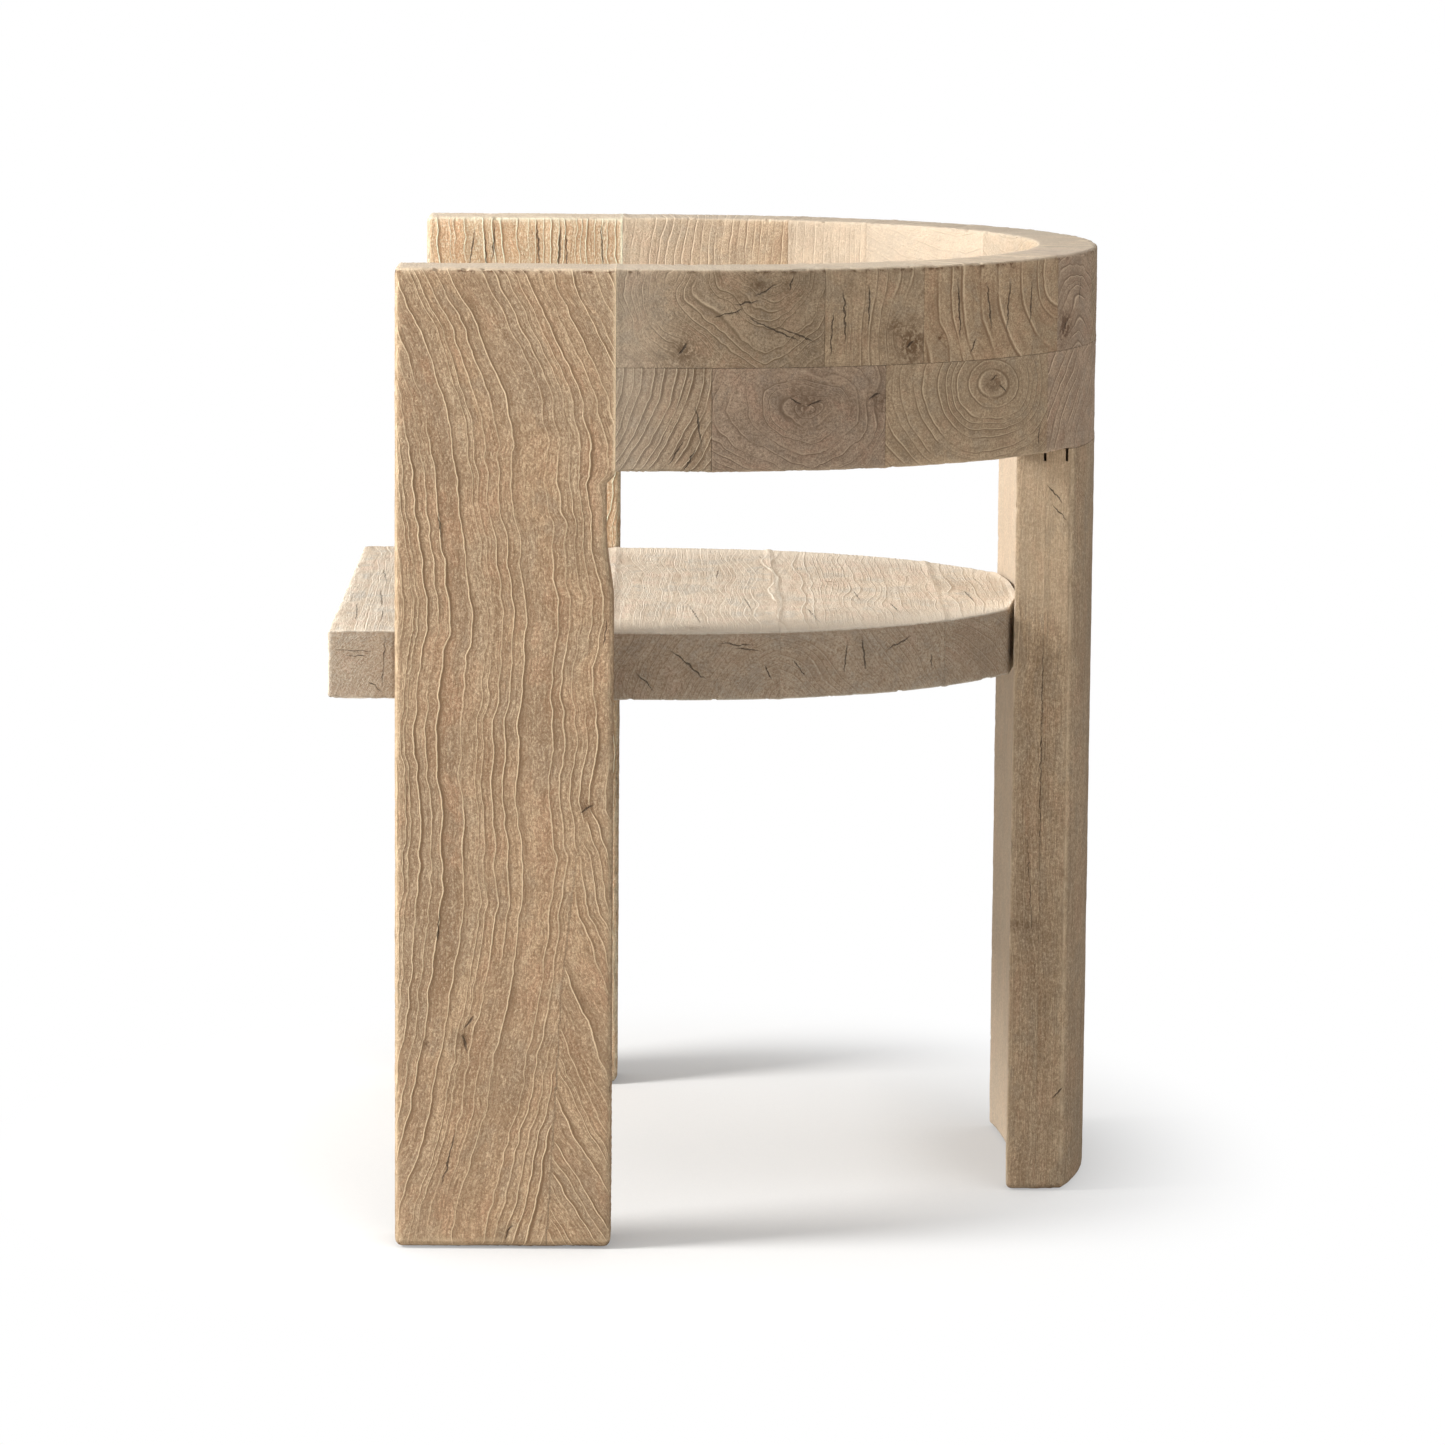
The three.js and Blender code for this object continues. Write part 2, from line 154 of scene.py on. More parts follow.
def seen_directly(tree):
    """1 for rays that end in the camera, also by way of gloss or glass, and else 0."""
    path = wire(tree, "ShaderNodeLightPath")
    gloss = wire(tree, "ShaderNodeMath", {0: path["Is Camera Ray"], 1: path["Is Glossy Ray"]},
                 operation="MAXIMUM")
    return wire(tree, "ShaderNodeMath", {0: gloss[0], 1: path["Is Transmission Ray"]},
                operation="MAXIMUM")[0]


tree = world.node_tree
fill = wire(tree, "ShaderNodeBackground", {"Color": room_color, "Strength": room_strength})
white = wire(tree, "ShaderNodeBackground", {"Color": background, "Strength": 1})
seen = wire(tree, "ShaderNodeMixShader", {0: seen_directly(tree), 1: fill[0], 2: white[0]})
wire(tree, "ShaderNodeOutputWorld", {"Surface": seen[0]})
print("brightness of the surroundings:", room_strength)

# %% Floor
floor_radius = 6.0
floor_gap = 0.5 * MM
fade_from, fade_to = 0.24, 0.54
floor_tone = (0.62, 0.62, 0.62, 1)
floor_bounce = (0.62, 0.60, 0.57, 1)
floor_lift = 0.30

bpy.ops.mesh.primitive_circle_add(vertices=64, radius=floor_radius, fill_type="NGON",
                                  location=(0, 0, -floor_gap))
floor = bpy.context.object
floor.name = "studio_floor"
bpy.ops.object.transform_apply(location=True)

paint = bpy.data.materials.new("white_floor")
paint.use_nodes = True
tree = paint.node_tree
tree.nodes.clear()
place = wire(tree, "ShaderNodeTexCoord")["Object"]
oval = wire(tree, "ShaderNodeMapping", {"Vector": place, "Location": (0.02, 0.06, 0),
                                        "Scale": (0.9, 1, 1)})[0]
away = wire(tree, "ShaderNodeVectorMath", {0: oval}, operation="LENGTH")["Value"]
fade = wire(tree, "ShaderNodeMapRange", {"Value": away, "From Min": fade_from, "From Max": fade_to},
            interpolation_type="SMOOTHSTEP")[0]
# Painted shade: ambient occlusion darkens the floor's colour and its glow to the camera round the
# feet and under the chair.
open_sky = wire(tree, "ShaderNodeAmbientOcclusion", {"Distance": 0.5}, samples=16)["AO"]
painted_contact_shade = wire(tree, "ShaderNodeMapRange", {"Value": open_sky, "From Min": 0.42, "From Max": 0.97,
                                            "To Min": 0.72, "To Max": 1})[0]
grey = wire(tree, "ShaderNodeCombineColor", {0: painted_contact_shade, 1: painted_contact_shade, 2: painted_contact_shade})[0]
paint_tone = wire(tree, "ShaderNodeMix", {0: 1.0, 6: floor_tone, 7: grey},
                  data_type="RGBA", blend_type="MULTIPLY")[2]
lit = wire(tree, "ShaderNodeBsdfDiffuse", {"Color": paint_tone})
lift = wire(tree, "ShaderNodeEmission", {"Color": grey, "Strength": floor_lift})
near = wire(tree, "ShaderNodeAddShader", {0: lit[0], 1: lift[0]})
far = wire(tree, "ShaderNodeEmission", {"Color": background, "Strength": 1})
shown = wire(tree, "ShaderNodeMixShader", {0: fade, 1: near[0], 2: far[0]})
bounce = wire(tree, "ShaderNodeBsdfDiffuse", {"Color": floor_bounce})
mixed = wire(tree, "ShaderNodeMixShader", {0: seen_directly(tree), 1: bounce[0], 2: shown[0]})
wire(tree, "ShaderNodeOutputMaterial", {"Surface": mixed[0]})
floor.data.materials.append(paint)
print("floor radius:", floor_radius, "m")

# %% [markdown]
# ## How a block is sawn and split into small faces
#
# A timber starts as a cube of the right size. Its edges are subdivided along one direction at a
# time until the faces are a millimetre or three wide, finer across the grain than along it. That
# keeps the corners exact, which a remesh wouldn't, and gives the relief enough points.

# %% Sawing
most_cuts = 90
tiny = MM / 100


def points_of(mesh):
    """The mesh's points as rows of x, y, z."""
    flat = np.empty(len(mesh.vertices) * 3, np.float32)
    mesh.vertices.foreach_get("co", flat)
    return flat.reshape(-1, 3).astype(float)


def split_along(piece, axis, count):
    """Splits every edge that runs along the axis, which adds one loop of edges at each cut."""
    stages = [count] if count <= most_cuts else [math.ceil(count / most_cuts)]
    if count > most_cuts:
        stages.append(round(count / stages[0]))
    for parts in stages:
        mesh = piece.data
        ends = np.empty(len(mesh.edges) * 2, np.int32)
        mesh.edges.foreach_get("vertices", ends)
        run = points_of(mesh)[ends[1::2]] - points_of(mesh)[ends[::2]]
        mesh.vertices.foreach_set("select", np.zeros(len(mesh.vertices), bool))
        mesh.polygons.foreach_set("select", np.zeros(len(mesh.polygons), bool))
        mesh.edges.foreach_set("select", np.abs(run[:, axis]) > tiny)
        scene.tool_settings.mesh_select_mode = (False, True, False)
        bpy.ops.object.mode_set(mode="EDIT")
        if parts > 1:
            bpy.ops.mesh.subdivide(number_cuts=parts - 1)
        bpy.ops.object.mode_set(mode="OBJECT")


def saw(name, low, high, cell):
    """A block from corner to corner, its faces split into cells of about the given size."""
    bpy.ops.object.select_all(action="DESELECT")
    centre = [(a + b) / 2 for a, b in zip(low, high)]
    bpy.ops.mesh.primitive_cube_add(size=1, location=centre)
    piece = bpy.context.object
    piece.name = name
    piece.data.name = name
    piece.scale = [b - a for a, b in zip(low, high)]
    bpy.ops.object.transform_apply(location=True, rotation=False, scale=True)
    for axis in range(3):
        split_along(piece, axis, max(1, round((high[axis] - low[axis]) / cell[axis])))
    return piece


# %% [markdown]
# ## Noise, and lines at uneven distances
#
# Nothing in a tree is even. Smooth noise with a fixed seed bends the growth rings, and the rings
# themselves are given widths that differ from year to year. Both are worked out point by point,
# and they come out the same on each run.

# %% Noise and rings
noise_offset = 100.37
noise_gain = 1.6
most_rings = 300
line_share = 0.3


def make_gradients(seed):
    """A shuffled table and a set of directions, from which the noise is made."""
    random = np.random.RandomState(seed)
    table = np.tile(random.permutation(256), 3)
    ways = random.normal(size=(256, 3))
    return table, ways / np.linalg.norm(ways, axis=1, keepdims=True)


noise_tables = {}


def noise(points, size, seed):
    """Smooth noise between about -1 and 1, with lumps of the given size in metres."""
    if seed not in noise_tables:
        noise_tables[seed] = make_gradients(seed)
    table, ways = noise_tables[seed]
    p = points / np.asarray(size, float) + noise_offset
    cell = np.floor(p).astype(np.int64)
    part = p - cell
    ease = part ** 3 * (part * (part * 6 - 15) + 10)
    cell &= 255
    total = np.zeros(len(p))
    for corner in range(8):
        step = np.array([corner & 1, corner >> 1 & 1, corner >> 2 & 1])
        c = cell + step
        index = table[table[table[c[:, 0]] + c[:, 1]] + c[:, 2]]
        weight = np.prod(np.where(step, ease, 1 - ease), axis=1)
        total += weight * np.einsum("ij,ij->i", ways[index], part - step)
    return total * noise_gain


def rough_noise(points, size, seed, octaves=3):
    """Noise with finer and weaker noise on top."""
    size = np.asarray(size, float)
    total = sum(noise(points, size / 2 ** i, seed + i) * 0.5 ** i for i in range(octaves))
    return total / 1.5


def count_rings(distance, edges, mean):
    """Counts rings between given edges. A line keeps its width in millimetres in a wide ring."""
    edges = np.asarray(edges, float)
    side = line_share * np.minimum(mean, np.diff(edges))
    number = np.arange(len(edges) - 1)
    knots = np.stack([edges[:-1], edges[:-1] + side, edges[1:] - side], axis=1).ravel()
    values = np.stack([number, number + line_share, number + 1 - line_share], axis=1).ravel()
    return np.interp(distance, np.append(knots, edges[-1]), np.append(values, len(edges) - 1))


def ring_number(distance, mean, spread, seed):
    """Counts rings outwards from 0, where each ring has its own width."""
    random = np.random.RandomState(seed)
    widths = mean * np.exp(random.normal(0, spread, 2 * most_rings))
    inward, outward = np.cumsum(widths[:most_rings]), np.cumsum(widths[most_rings:])
    edges = np.concatenate([-inward[::-1], [0], outward])
    return count_rings(distance, edges, mean) - most_rings


def smooth_step(value, low, high):
    """0 up to low, 1 from high on, and a soft slope between. It falls where low is the larger."""
    t = np.clip((value - low) / (high - low), 0, 1)
    return t * t * (3 - 2 * t)


sample = ring_number(np.linspace(0, 0.1, 6), 8 * MM, 0.5, 1)
print("rings counted every 20 mm:", np.round(sample, 1))

# %% [markdown]
# ## Wearing a block
#
# Old timber loses its sharp arrises and its soft early wood first, and the hard late wood stays
# proud as narrow ridges. So a block is worn in two steps. Its free edges are rounded, and the
# edges at glued joints stay sharp, because the chair was planed flush after gluing. Then every
# point moves inwards by the depth of the wear at that place, so the block never grows.
# The ring number, the direction of the fibres, the wear, the knots and the painted light are
# stored on the points, and the finish reads the same values, so that colour and relief agree.

# %% Wearing
line_depth = 0.33 * MM
hand_wear = 0.45 * MM
small_dents = 0.22 * MM
chip_depth = 2.8 * MM
chip_reach = 2.4 * MM
seam_width = 1.3 * MM
calm_width = 5 * MM
pale_reach = 2.6 * MM
most_wear = 6 * MM
edge_wobble = 0.22
smooth_below = math.radians(52)
tear_depth, tear_height = 3.2 * MM, 1.7 * MM
outer_skin = 6 * MM


def store(mesh, name, values):
    """Keeps one number, or one direction, per point under a name that materials can read."""
    kind = "FLOAT" if values.ndim == 1 else "FLOAT_VECTOR"
    layer = mesh.attributes.new(name, kind, "POINT")
    layer.data.foreach_set("value" if kind == "FLOAT" else "vector",
                           values.astype(np.float32).ravel())


def ragged_top(p, seed):
    """Dirt in the small tears just below the top arris."""
    below = np.exp(-(((chair_top - p[:, 2] - tear_depth) / tear_height) ** 2))
    tears = smooth_step(rough_noise(p, (7 * MM, 9 * MM, 9 * MM), seed + 95), -0.1, 0.25)
    return 0.85 * below * tears


def line_profile(rings, ridged):
    """How proud the surface is at each ring: ridges for 1, cut grooves for 0."""
    part = rings - np.floor(rings)
    near = np.minimum(part, 1 - part)
    ridge = np.exp(-((near / 0.11) ** 2)) - 0.6 * np.exp(-(((part - 0.24) / 0.12) ** 2))
    groove = 0.55 - np.exp(-((near / 0.10) ** 2)) + 0.3 * np.exp(-(((part - 0.86) / 0.08) ** 2))
    return ridge * ridged + groove * (1 - ridged)


def wear(piece, low, high, free, radius, figure, shape=None, seed=1, seam=0.35):
    """Rounds the free edges, sinks the soft wood and stores the figure on the points. low and
    high are the block's faces, and free says which of them are open to hands and weather."""
    mesh = piece.data
    p = points_of(mesh)
    low = np.broadcast_to(np.asarray(low, float), p.shape)
    high = np.broadcast_to(np.asarray(high, float), p.shape)
    free = np.broadcast_to(np.asarray(free, float), (len(p), 2, 3))
    radius = radius * (1 + edge_wobble * noise(p, 35 * MM, seed + 40))
    inner_low = low + radius[:, None] * free[:, 0]
    inner_high = high - radius[:, None] * free[:, 1]
    core = np.clip(p, inner_low, inner_high)
    away = p - core
    length = np.linalg.norm(away, axis=1)
    out = np.where((length > tiny)[:, None], away / np.maximum(length, 1e-9)[:, None], 0)
    rounded = core + out * np.minimum(length, radius)[:, None]

    reach = np.concatenate([np.where(free[:, 0] > 0, p - low, 1),
                            np.where(free[:, 1] > 0, high - p, 1)], axis=1)
    arris = np.sort(np.abs(reach), axis=1)[:, 1]
    joint = np.concatenate([np.where(free[:, 0] > 0, 1, p - low),
                            np.where(free[:, 1] > 0, 1, high - p)], axis=1)
    joint = np.abs(joint).min(axis=1)

    made = figure(p)
    crest, ridged = made["crest"], made.get("ridged", 1.0)
    line = line_profile(made["rings"], ridged) * crest
    depth = line_depth * made.get("relief", 1.0) * (1 - line)
    depth = depth + hand_wear * (0.5 + 0.5 * rough_noise(p, 55 * MM, seed + 50))
    depth = depth + small_dents * (1 + rough_noise(p, 11 * MM, seed + 90, 2))
    chips = smooth_step(rough_noise(p, 9 * MM, seed + 60), 0.18, 0.55)
    depth = depth + chip_depth * chips * np.exp(-arris / chip_reach)
    depth = depth + made["dent"]
    calm = smooth_step(joint, 0, calm_width) * 0.75 + 0.25
    depth = depth * calm + seam * MM * np.exp(-((joint / seam_width) ** 2))
    depth = np.clip(depth, 0, most_wear)
    done = rounded - out * depth[:, None]
    if shape:
        done = shape(done)
    mesh.vertices.foreach_set("co", done.astype(np.float32).ravel())
    mesh.update()

    store(mesh, "rings", made["rings"])
    store(mesh, "crest", crest)
    store(mesh, "fibre", made["fibre"])
    # Pale arrises are wear and in part a painted highlight; the figure's painted light is laid over
    # them.
    worn = 1.2 * np.exp(-arris / pale_reach) * (0.8 + 0.7 * noise(p, 14 * MM, seed + 70))
    store(mesh, "worn", np.maximum(worn, made.get("proud", 0)))
    store(mesh, "mark", made["mark"])
    store(mesh, "end", made["end_share"](out))
    store(mesh, "pale", made["pale_share"](out))
    bpy.ops.object.select_all(action="DESELECT")
    piece.select_set(True)
    bpy.context.view_layer.objects.active = piece
    bpy.ops.object.shade_smooth_by_angle(angle=smooth_below)
    return piece


print("lines", round(line_depth / MM, 2), "mm deep, chips up to", round(chip_depth / MM, 1), "mm")

# %% [markdown]
# ## The figure of the wood
#
# Two kinds of figure are enough. On long grain the rings run along the board as wavy lines that
# lean and fold where the trunk had a crook. On end grain they are arcs round the pith, which may
# lie inside the block or beyond its edge. Knots push the lines aside and leave a dark dent.

# %% Figures
# Each wave's share, its size across, through and up the board in millimetres, and its seed
board_waves = [(1, (90, 200, 120), 0), (0.60, (70, 120, 46), 1), (0.36, (48, 60, 17), 2),
               (0.22, (19, 40, 9), 6)]
ring_fade = 1.3


def knot_effects(flat, p, knots, seed):
    """How far knots push the rings, how dark they are and how deep they are sunk."""
    push, mark, dent = (np.zeros(len(p)) for _ in range(3))
    for (a, b, size, dark, sunk, swirl) in knots:
        wobble = 0.35 * rough_noise(p, size * 0.9 * MM, seed + 80)
        gap = np.hypot(flat[:, 0] - a * MM, flat[:, 1] - b * MM) / (size * MM)
        core = np.exp(-((gap * (1 + wobble)) ** 2))
        push += swirl * np.exp(-((gap / 2.2) ** 2))
        mark = np.maximum(mark, dark * core)
        dent += sunk * MM * core
    return push, mark, dent


def strength_of(rings, fibre, seed):
    """Each ring has its own strength, and each fades in and out along its way."""
    table = 0.40 + 0.60 * np.random.RandomState(seed).uniform(0, 1, 1024) ** 1.5
    own = table[np.floor(rings + 0.5).astype(int) % 1024]
    along = 1 + ring_fade * rough_noise(fibre, (16 * MM, 25 * MM, 75 * MM), seed + 5)
    return np.clip(own * along, 0.03, 1.15)


def board_figure(across, tilt, lean, spread_of, seed, knots=(), feather=None, ring=8.5, wave=5.0,
                 relief=1.0, lines=1.0, painted_light_side=None):
    """Long grain up a board. across gives the place in the board as wide, deep and up, and lean
    the grain's drift in millimetres at some heights."""
    heights = np.arange(-60, 811, 2.0)
    drift = np.interp(heights, *zip(*lean))
    window = np.exp(-((np.arange(-30, 31) / 13.0) ** 2))
    drift = np.convolve(np.pad(drift, 30, "edge"), window / window.sum(), "valid") * MM
    heights = heights * MM

    def figure(p):
        wide, deep, up = across(p)
        spot = np.stack([wide, deep, up], axis=1)
        shift = np.interp(up, heights, drift) + spread_of(wide, up)
        for share, size, extra in board_waves:
            shift += share * wave * MM * noise(spot, np.array(size) * MM, seed + extra)
        place = wide + shift
        quiet = 1.0
        if feather:
            place, quiet = feather(wide, up, place, np.interp(up, heights, drift))
        place = place + tilt * deep
        flat = np.stack([wide, up], axis=1)
        push, mark, dent = knot_effects(flat, p, knots, seed)
        rings = ring_number(place, ring * MM, 0.50, seed + 3) + push
        fibre = np.stack([place, deep, up], axis=1)
        crest = strength_of(rings, fibre, seed + 4) * (1 - 0.8 * mark) * quiet * lines
        # Top faces are made paler; where a painted-light side is given, it is used instead.
        return {"rings": rings, "crest": crest, "fibre": fibre, "mark": mark, "dent": dent,
                "relief": relief, "end_share": lambda out: np.clip(-out[:, 2], 0, 1),
                "pale_share": painted_light_side or (lambda out: 0.95 * np.clip(out[:, 2], 0, 1) ** 2)}

    return figure


def end_figure(pith, stretch, ring, seed, knots=(), ridged=0.3, wobble=1.0, relief=1.0,
               lines=None, inner_light=(0.4, 0.4), strength=1.25):
    """End grain: arcs round a pith at (along, height) in mm, or upright lines where they are
    given. inner_light says how much painted light brightens the inner face at the block's two ends."""
    def warp(flat, seeds):
        waves = zip((4.5, 2, 0.7), (60 * MM, 21 * MM, 8 * MM), seeds)
        return wobble * MM * sum(far * noise(flat, size, seed + n) for far, size, n in waves)

    def figure(p):
        along, deep, up = p[:, 0], p[:, 1], p[:, 2]
        flat = np.stack([along, deep * 0.3, up], axis=1)
        a = along + warp(flat, (0, 1, 6)) + 0.12 * deep
        b = up + warp(flat, (2, 3, 7)) - 0.1 * deep
        push, mark, dent = knot_effects(np.stack([along, up], axis=1), p, knots, seed)
        if lines is None:
            distance = np.hypot((a - pith[0] * MM) / stretch[0], (b - pith[1] * MM) / stretch[1])
            rings = ring_number(distance, ring * MM, 0.38, seed + 4)
        else:
            curve = stretch[0] * (b - pith[1] * MM) ** 2 / MM
            rings = count_rings(a + curve, np.array(lines) * MM, 7 * MM)
        rings = rings + push
        fibre = np.stack([a, b, deep], axis=1)
        patches = np.clip(1 + 1.7 * rough_noise(flat, 36 * MM, seed + 8), 0.12, 1.6)
        crest = strength_of(rings, fibre * (1, 1, 0.3), seed + 5) * patches * (1 - 0.8 * mark)
        crest = np.clip(crest * strength, 0.03, 1.3)
        beside_board = 0.28 * np.exp(-((along / (38 * MM)) ** 2)) * (deep < MM)
        mark = np.maximum(mark, ragged_top(p, seed) * (deep < outer_skin))

        def end_share(out):
            return 0.3 * out[:, 1] ** 2 * (out[:, 1] < 0)

        def pale_share(out):
            # Painted light: the inner face is made paler towards the block's ends by the given
            # amounts.
            inner_lit = np.interp(along, (along.min(), along.max()), inner_light)
            inner = inner_lit * smooth_step(deep, 0.5 * band_depth, 0.95 * band_depth)
            inner = np.maximum(inner, beside_board)
            return np.maximum(inner, 0.8 * np.clip(out[:, 2], 0, 1) ** 2)

        return {"rings": rings, "crest": crest, "fibre": fibre, "mark": mark, "dent": dent,
                "ridged": ridged, "relief": 1.5 * relief, "end_share": end_share,
                "pale_share": pale_share}

    return figure


sample = strength_of(np.arange(6.0), np.zeros((6, 3)), 1)
print("strengths of six rings:", np.round(sample, 2))

# %% [markdown]
# ## The finish
#
# The wood is bare, bleached by sun and brushed. The colour starts from drifting clouds of warm
# tan and grey-brown, each year's ring has its own shade, the ridges are pale where hands and
# weather polish them, a painted shadow lies along one side of each raised line, and fine dark
# pores lie along the fibres. Where painted light stands in for the lamps, the colour is drawn
# towards a pale tone. Splits are long thin ellipses laid in the wood, so they stay crisp at any
# distance. The bump is built from the same lines.

# %% Values for the finish
# How pale, how dark and how high the wood is from one ring to the next, for raised and cut lines.
# On raised lines the dark ramp is a painted shadow along one side of each ridge.
ridge_ramps = [
    [(0, 1), (0.035, 0.85), (0.075, 0.1), (0.12, 0), (0.93, 0), (0.965, 0.6), (1, 1)],
    [(0, 0), (0.06, 0.25), (0.11, 1), (0.22, 0.6), (0.42, 0.10), (0.8, 0.10), (0.93, 0.4), (1, 0)],
    [(0, 1), (0.05, 0.8), (0.13, 0.1), (0.22, 0.15), (0.5, 0.35), (0.84, 0.3), (0.94, 0.6), (1, 1)],
]
groove_ramps = [
    [(0, 0), (0.1, 0.05), (0.2, 0), (0.8, 0.02), (0.90, 0.5), (0.94, 0.15), (1, 0)],
    [(0, 1), (0.06, 0.65), (0.14, 0.15), (0.5, 0.1), (0.85, 0.05), (0.94, 0.5), (1, 1)],
    [(0, 0), (0.07, 0.35), (0.16, 0.7), (0.6, 0.7), (0.87, 0.95), (0.94, 0.5), (1, 0)],
]
faint_ramp = [(0, 1), (0.12, 0.4), (0.3, 0), (0.8, 0), (0.94, 0.5), (1, 1)]
# A pale tone for top faces, and for painted light on lit faces
pale_and_lit_tone = (0.86, 0.76, 0.63, 1)
end_tint = (0.57, 0.51, 0.455, 1)
bump_height = 1.7 * MM
split_bend = 5 * MM
print("bump:", round(bump_height / MM, 1), "mm")

# %% Finish
def wood_finish(name, tones, splits=(), ridged=1.0, contrast=1.0, seed=0.0, grit=1.0):
    """The material for one timber. tones are its dark, middle, grey and pale colours."""
    material = bpy.data.materials.new(name)
    material.use_nodes = True
    tree = material.node_tree
    tree.nodes.clear()
    dark, middle, grey, pale = [(*tone, 1) for tone in tones]

    def math_node(operation, a, b=0.0, clamp=False):
        return wire(tree, "ShaderNodeMath", {0: a, 1: b}, operation=operation, use_clamp=clamp)[0]

    def mix(factor, a, b, blend="MIX"):
        return wire(tree, "ShaderNodeMix", {0: factor, 6: a, 7: b}, data_type="RGBA",
                    blend_type=blend)[2]

    def texture(vector, scale, detail=2.0, rough=0.5, shift=0.0):
        moved = wire(tree, "ShaderNodeMapping",
                     {"Vector": vector, "Location": (seed + shift, seed * 1.7, shift)})[0]
        return wire(tree, "ShaderNodeTexNoise", {"Vector": moved, "Scale": scale,
                                                 "Detail": detail, "Roughness": rough})[0]

    def squeezed(vector, amount):
        return wire(tree, "ShaderNodeMapping", {"Vector": vector, "Scale": (1, 1, amount)})[0]

    def limits(value, low, high, to_low=0.0, to_high=1.0):
        return wire(tree, "ShaderNodeMapRange",
                    {"Value": value, "From Min": low, "From Max": high, "To Min": to_low,
                     "To Max": to_high}, interpolation_type="SMOOTHSTEP")[0]

    def ramp(value, stops):
        node = tree.nodes.new("ShaderNodeValToRGB")
        tree.links.new(value, node.inputs[0])
        elements = node.color_ramp.elements
        while len(elements) < len(stops):
            elements.new(0.5)
        for element, (position, level) in zip(elements, stops):
            element.position = position
            element.color = (level, level, level, 1)
        return node.outputs[0]

    stored = {n: wire(tree, "ShaderNodeAttribute", attribute_name=n)
              for n in ("rings", "crest", "fibre", "worn", "mark", "end", "pale")}
    rings, crest, worn, mark, end, pale_and_lit = (
        stored[n]["Fac"] for n in ("rings", "crest", "worn", "mark", "end", "pale"))
    fibre = stored["fibre"]["Vector"]
    place = wire(tree, "ShaderNodeTexCoord")["Object"]
    jitter = math_node("SUBTRACT", texture(fibre, 420, 2, 0.6, 3.1), 0.5)
    rough_rings = math_node("ADD", rings, math_node("MULTIPLY", jitter, 0.10))
    part = math_node("FRACT", rough_rings)

    ramps = ridge_ramps if ridged > 0.5 else groove_ramps
    light, shade, rise = (ramp(part, stops) for stops in ramps)
    between = math_node("FRACT", math_node("MULTIPLY", rough_rings, 2.63))
    faint = ramp(between, faint_ramp)
    faint = math_node("MULTIPLY", faint, limits(texture(fibre, 60, 2, 0.5, 9.0), 0.42, 0.62))
    light = math_node("MULTIPLY", light, crest)
    shade = math_node("MULTIPLY", shade, crest)

    clouds = texture(squeezed(fibre, 0.35), 16, 4, 0.55, 1.0)
    stains = texture(squeezed(fibre, 0.5), 34, 3, 0.6, 5.0)
    streaks = texture(squeezed(fibre, 0.045), 900, 3, 0.6, 2.0)
    broad = texture(squeezed(fibre, 0.06), 260, 3, 0.55, 7.0)
    specks = texture(place, 520, 3, 0.65, 4.0)
    grains = texture(squeezed(fibre, 0.10), 1500, 1, 0.5, 6.0)
    fuzz = texture(place, 1150, 2, 0.6, 8.0)
    brushed = texture(squeezed(fibre, 0.42), 760, 3, 0.65, 11.0)
    year = wire(tree, "ShaderNodeTexNoise", {"W": rings, "Scale": 0.9, "Detail": 1.0},
                noise_dimensions="1D")[0]

    rosy = (middle[0] * 0.97, middle[1] * 0.86, middle[2] * 0.86, 1)
    ashen = (middle[0] * 0.70, middle[1] * 0.77, middle[2] * 0.86, 1)
    hues = texture(squeezed(fibre, 0.6), 44, 4, 0.6, 13.0)
    colour = mix(limits(clouds, 0.38, 0.62), middle, grey)
    layers = [
        (hues, 0.51, 0.62, 0.75, rosy), (hues, 0.48, 0.38, 0.85, ashen),
        (stains, 0.49, 0.62, 0.46, dark), (year, 0.35, 0.75, 0.35, pale),
        (broad, 0.42, 0.62, 0.24, dark), (streaks, 0.47, 0.63, 0.36 * grit, dark),
        (specks, 0.50, 0.60, 0.42 * grit, dark), (specks, 0.47, 0.37, 0.36 * grit, pale),
        (brushed, 0.51, 0.62, 0.40 * grit, dark), (brushed, 0.47, 0.36, 0.36 * grit, pale),
        (fuzz, 0.52, 0.61, 0.44 * grit, dark), (grains, 0.60, 0.66, 0.45 * grit, dark),
    ]
    for value, low, high, share, tone in layers:
        colour = mix(math_node("MULTIPLY", limits(value, low, high), share), colour, tone)
    flecks = math_node("MULTIPLY", limits(specks, 0.52, 0.62), end)
    deeper = math_node("ADD", math_node("MULTIPLY", end, 0.9), 0.95 * contrast)
    # The dark ring ramp adds a painted shadow beside each raised line; the pale arrises carry wear,
    # painted highlight and painted light.
    lines = [(flecks, 0.7, dark), (faint, 0.38 * contrast, dark), (shade, deeper, dark),
             (light, 0.95 * contrast, pale), (worn, 0.55, pale)]
    for value, share, tone in lines:
        colour = mix(math_node("MULTIPLY", value, share, True), colour, tone)
    colour = mix(end, colour, mix(1.0, colour, end_tint, "MULTIPLY"))
    # The pale share makes top faces and the band beside the near board paler, and it is painted
    # light on the band's inner faces, the seat near its rim and the rear leg's front.
    colour = mix(math_node("MULTIPLY", pale_and_lit, 0.55), colour, pale_and_lit_tone)
    knot_tone = tuple(c * k for c, k in zip(dark[:3], (0.60, 0.52, 0.46))) + (1,)
    flaky = limits(texture(place, 260, 3, 0.7, 15.0), 0.40, 0.56, 0.25, 1.3)
    colour = mix(math_node("MULTIPLY", mark, flaky, True), colour, knot_tone)

    height = math_node("MULTIPLY", math_node("MULTIPLY", rise, crest), 0.22)
    raised = [(faint, -0.12), (streaks, 0.36 * grit), (specks, 0.60 * grit), (brushed, 0.50 * grit),
              (fuzz, 0.30 * grit), (broad, 0.26), (mark, -0.3)]
    for value, share in raised:
        height = math_node("ADD", height, math_node("MULTIPLY", value, share))

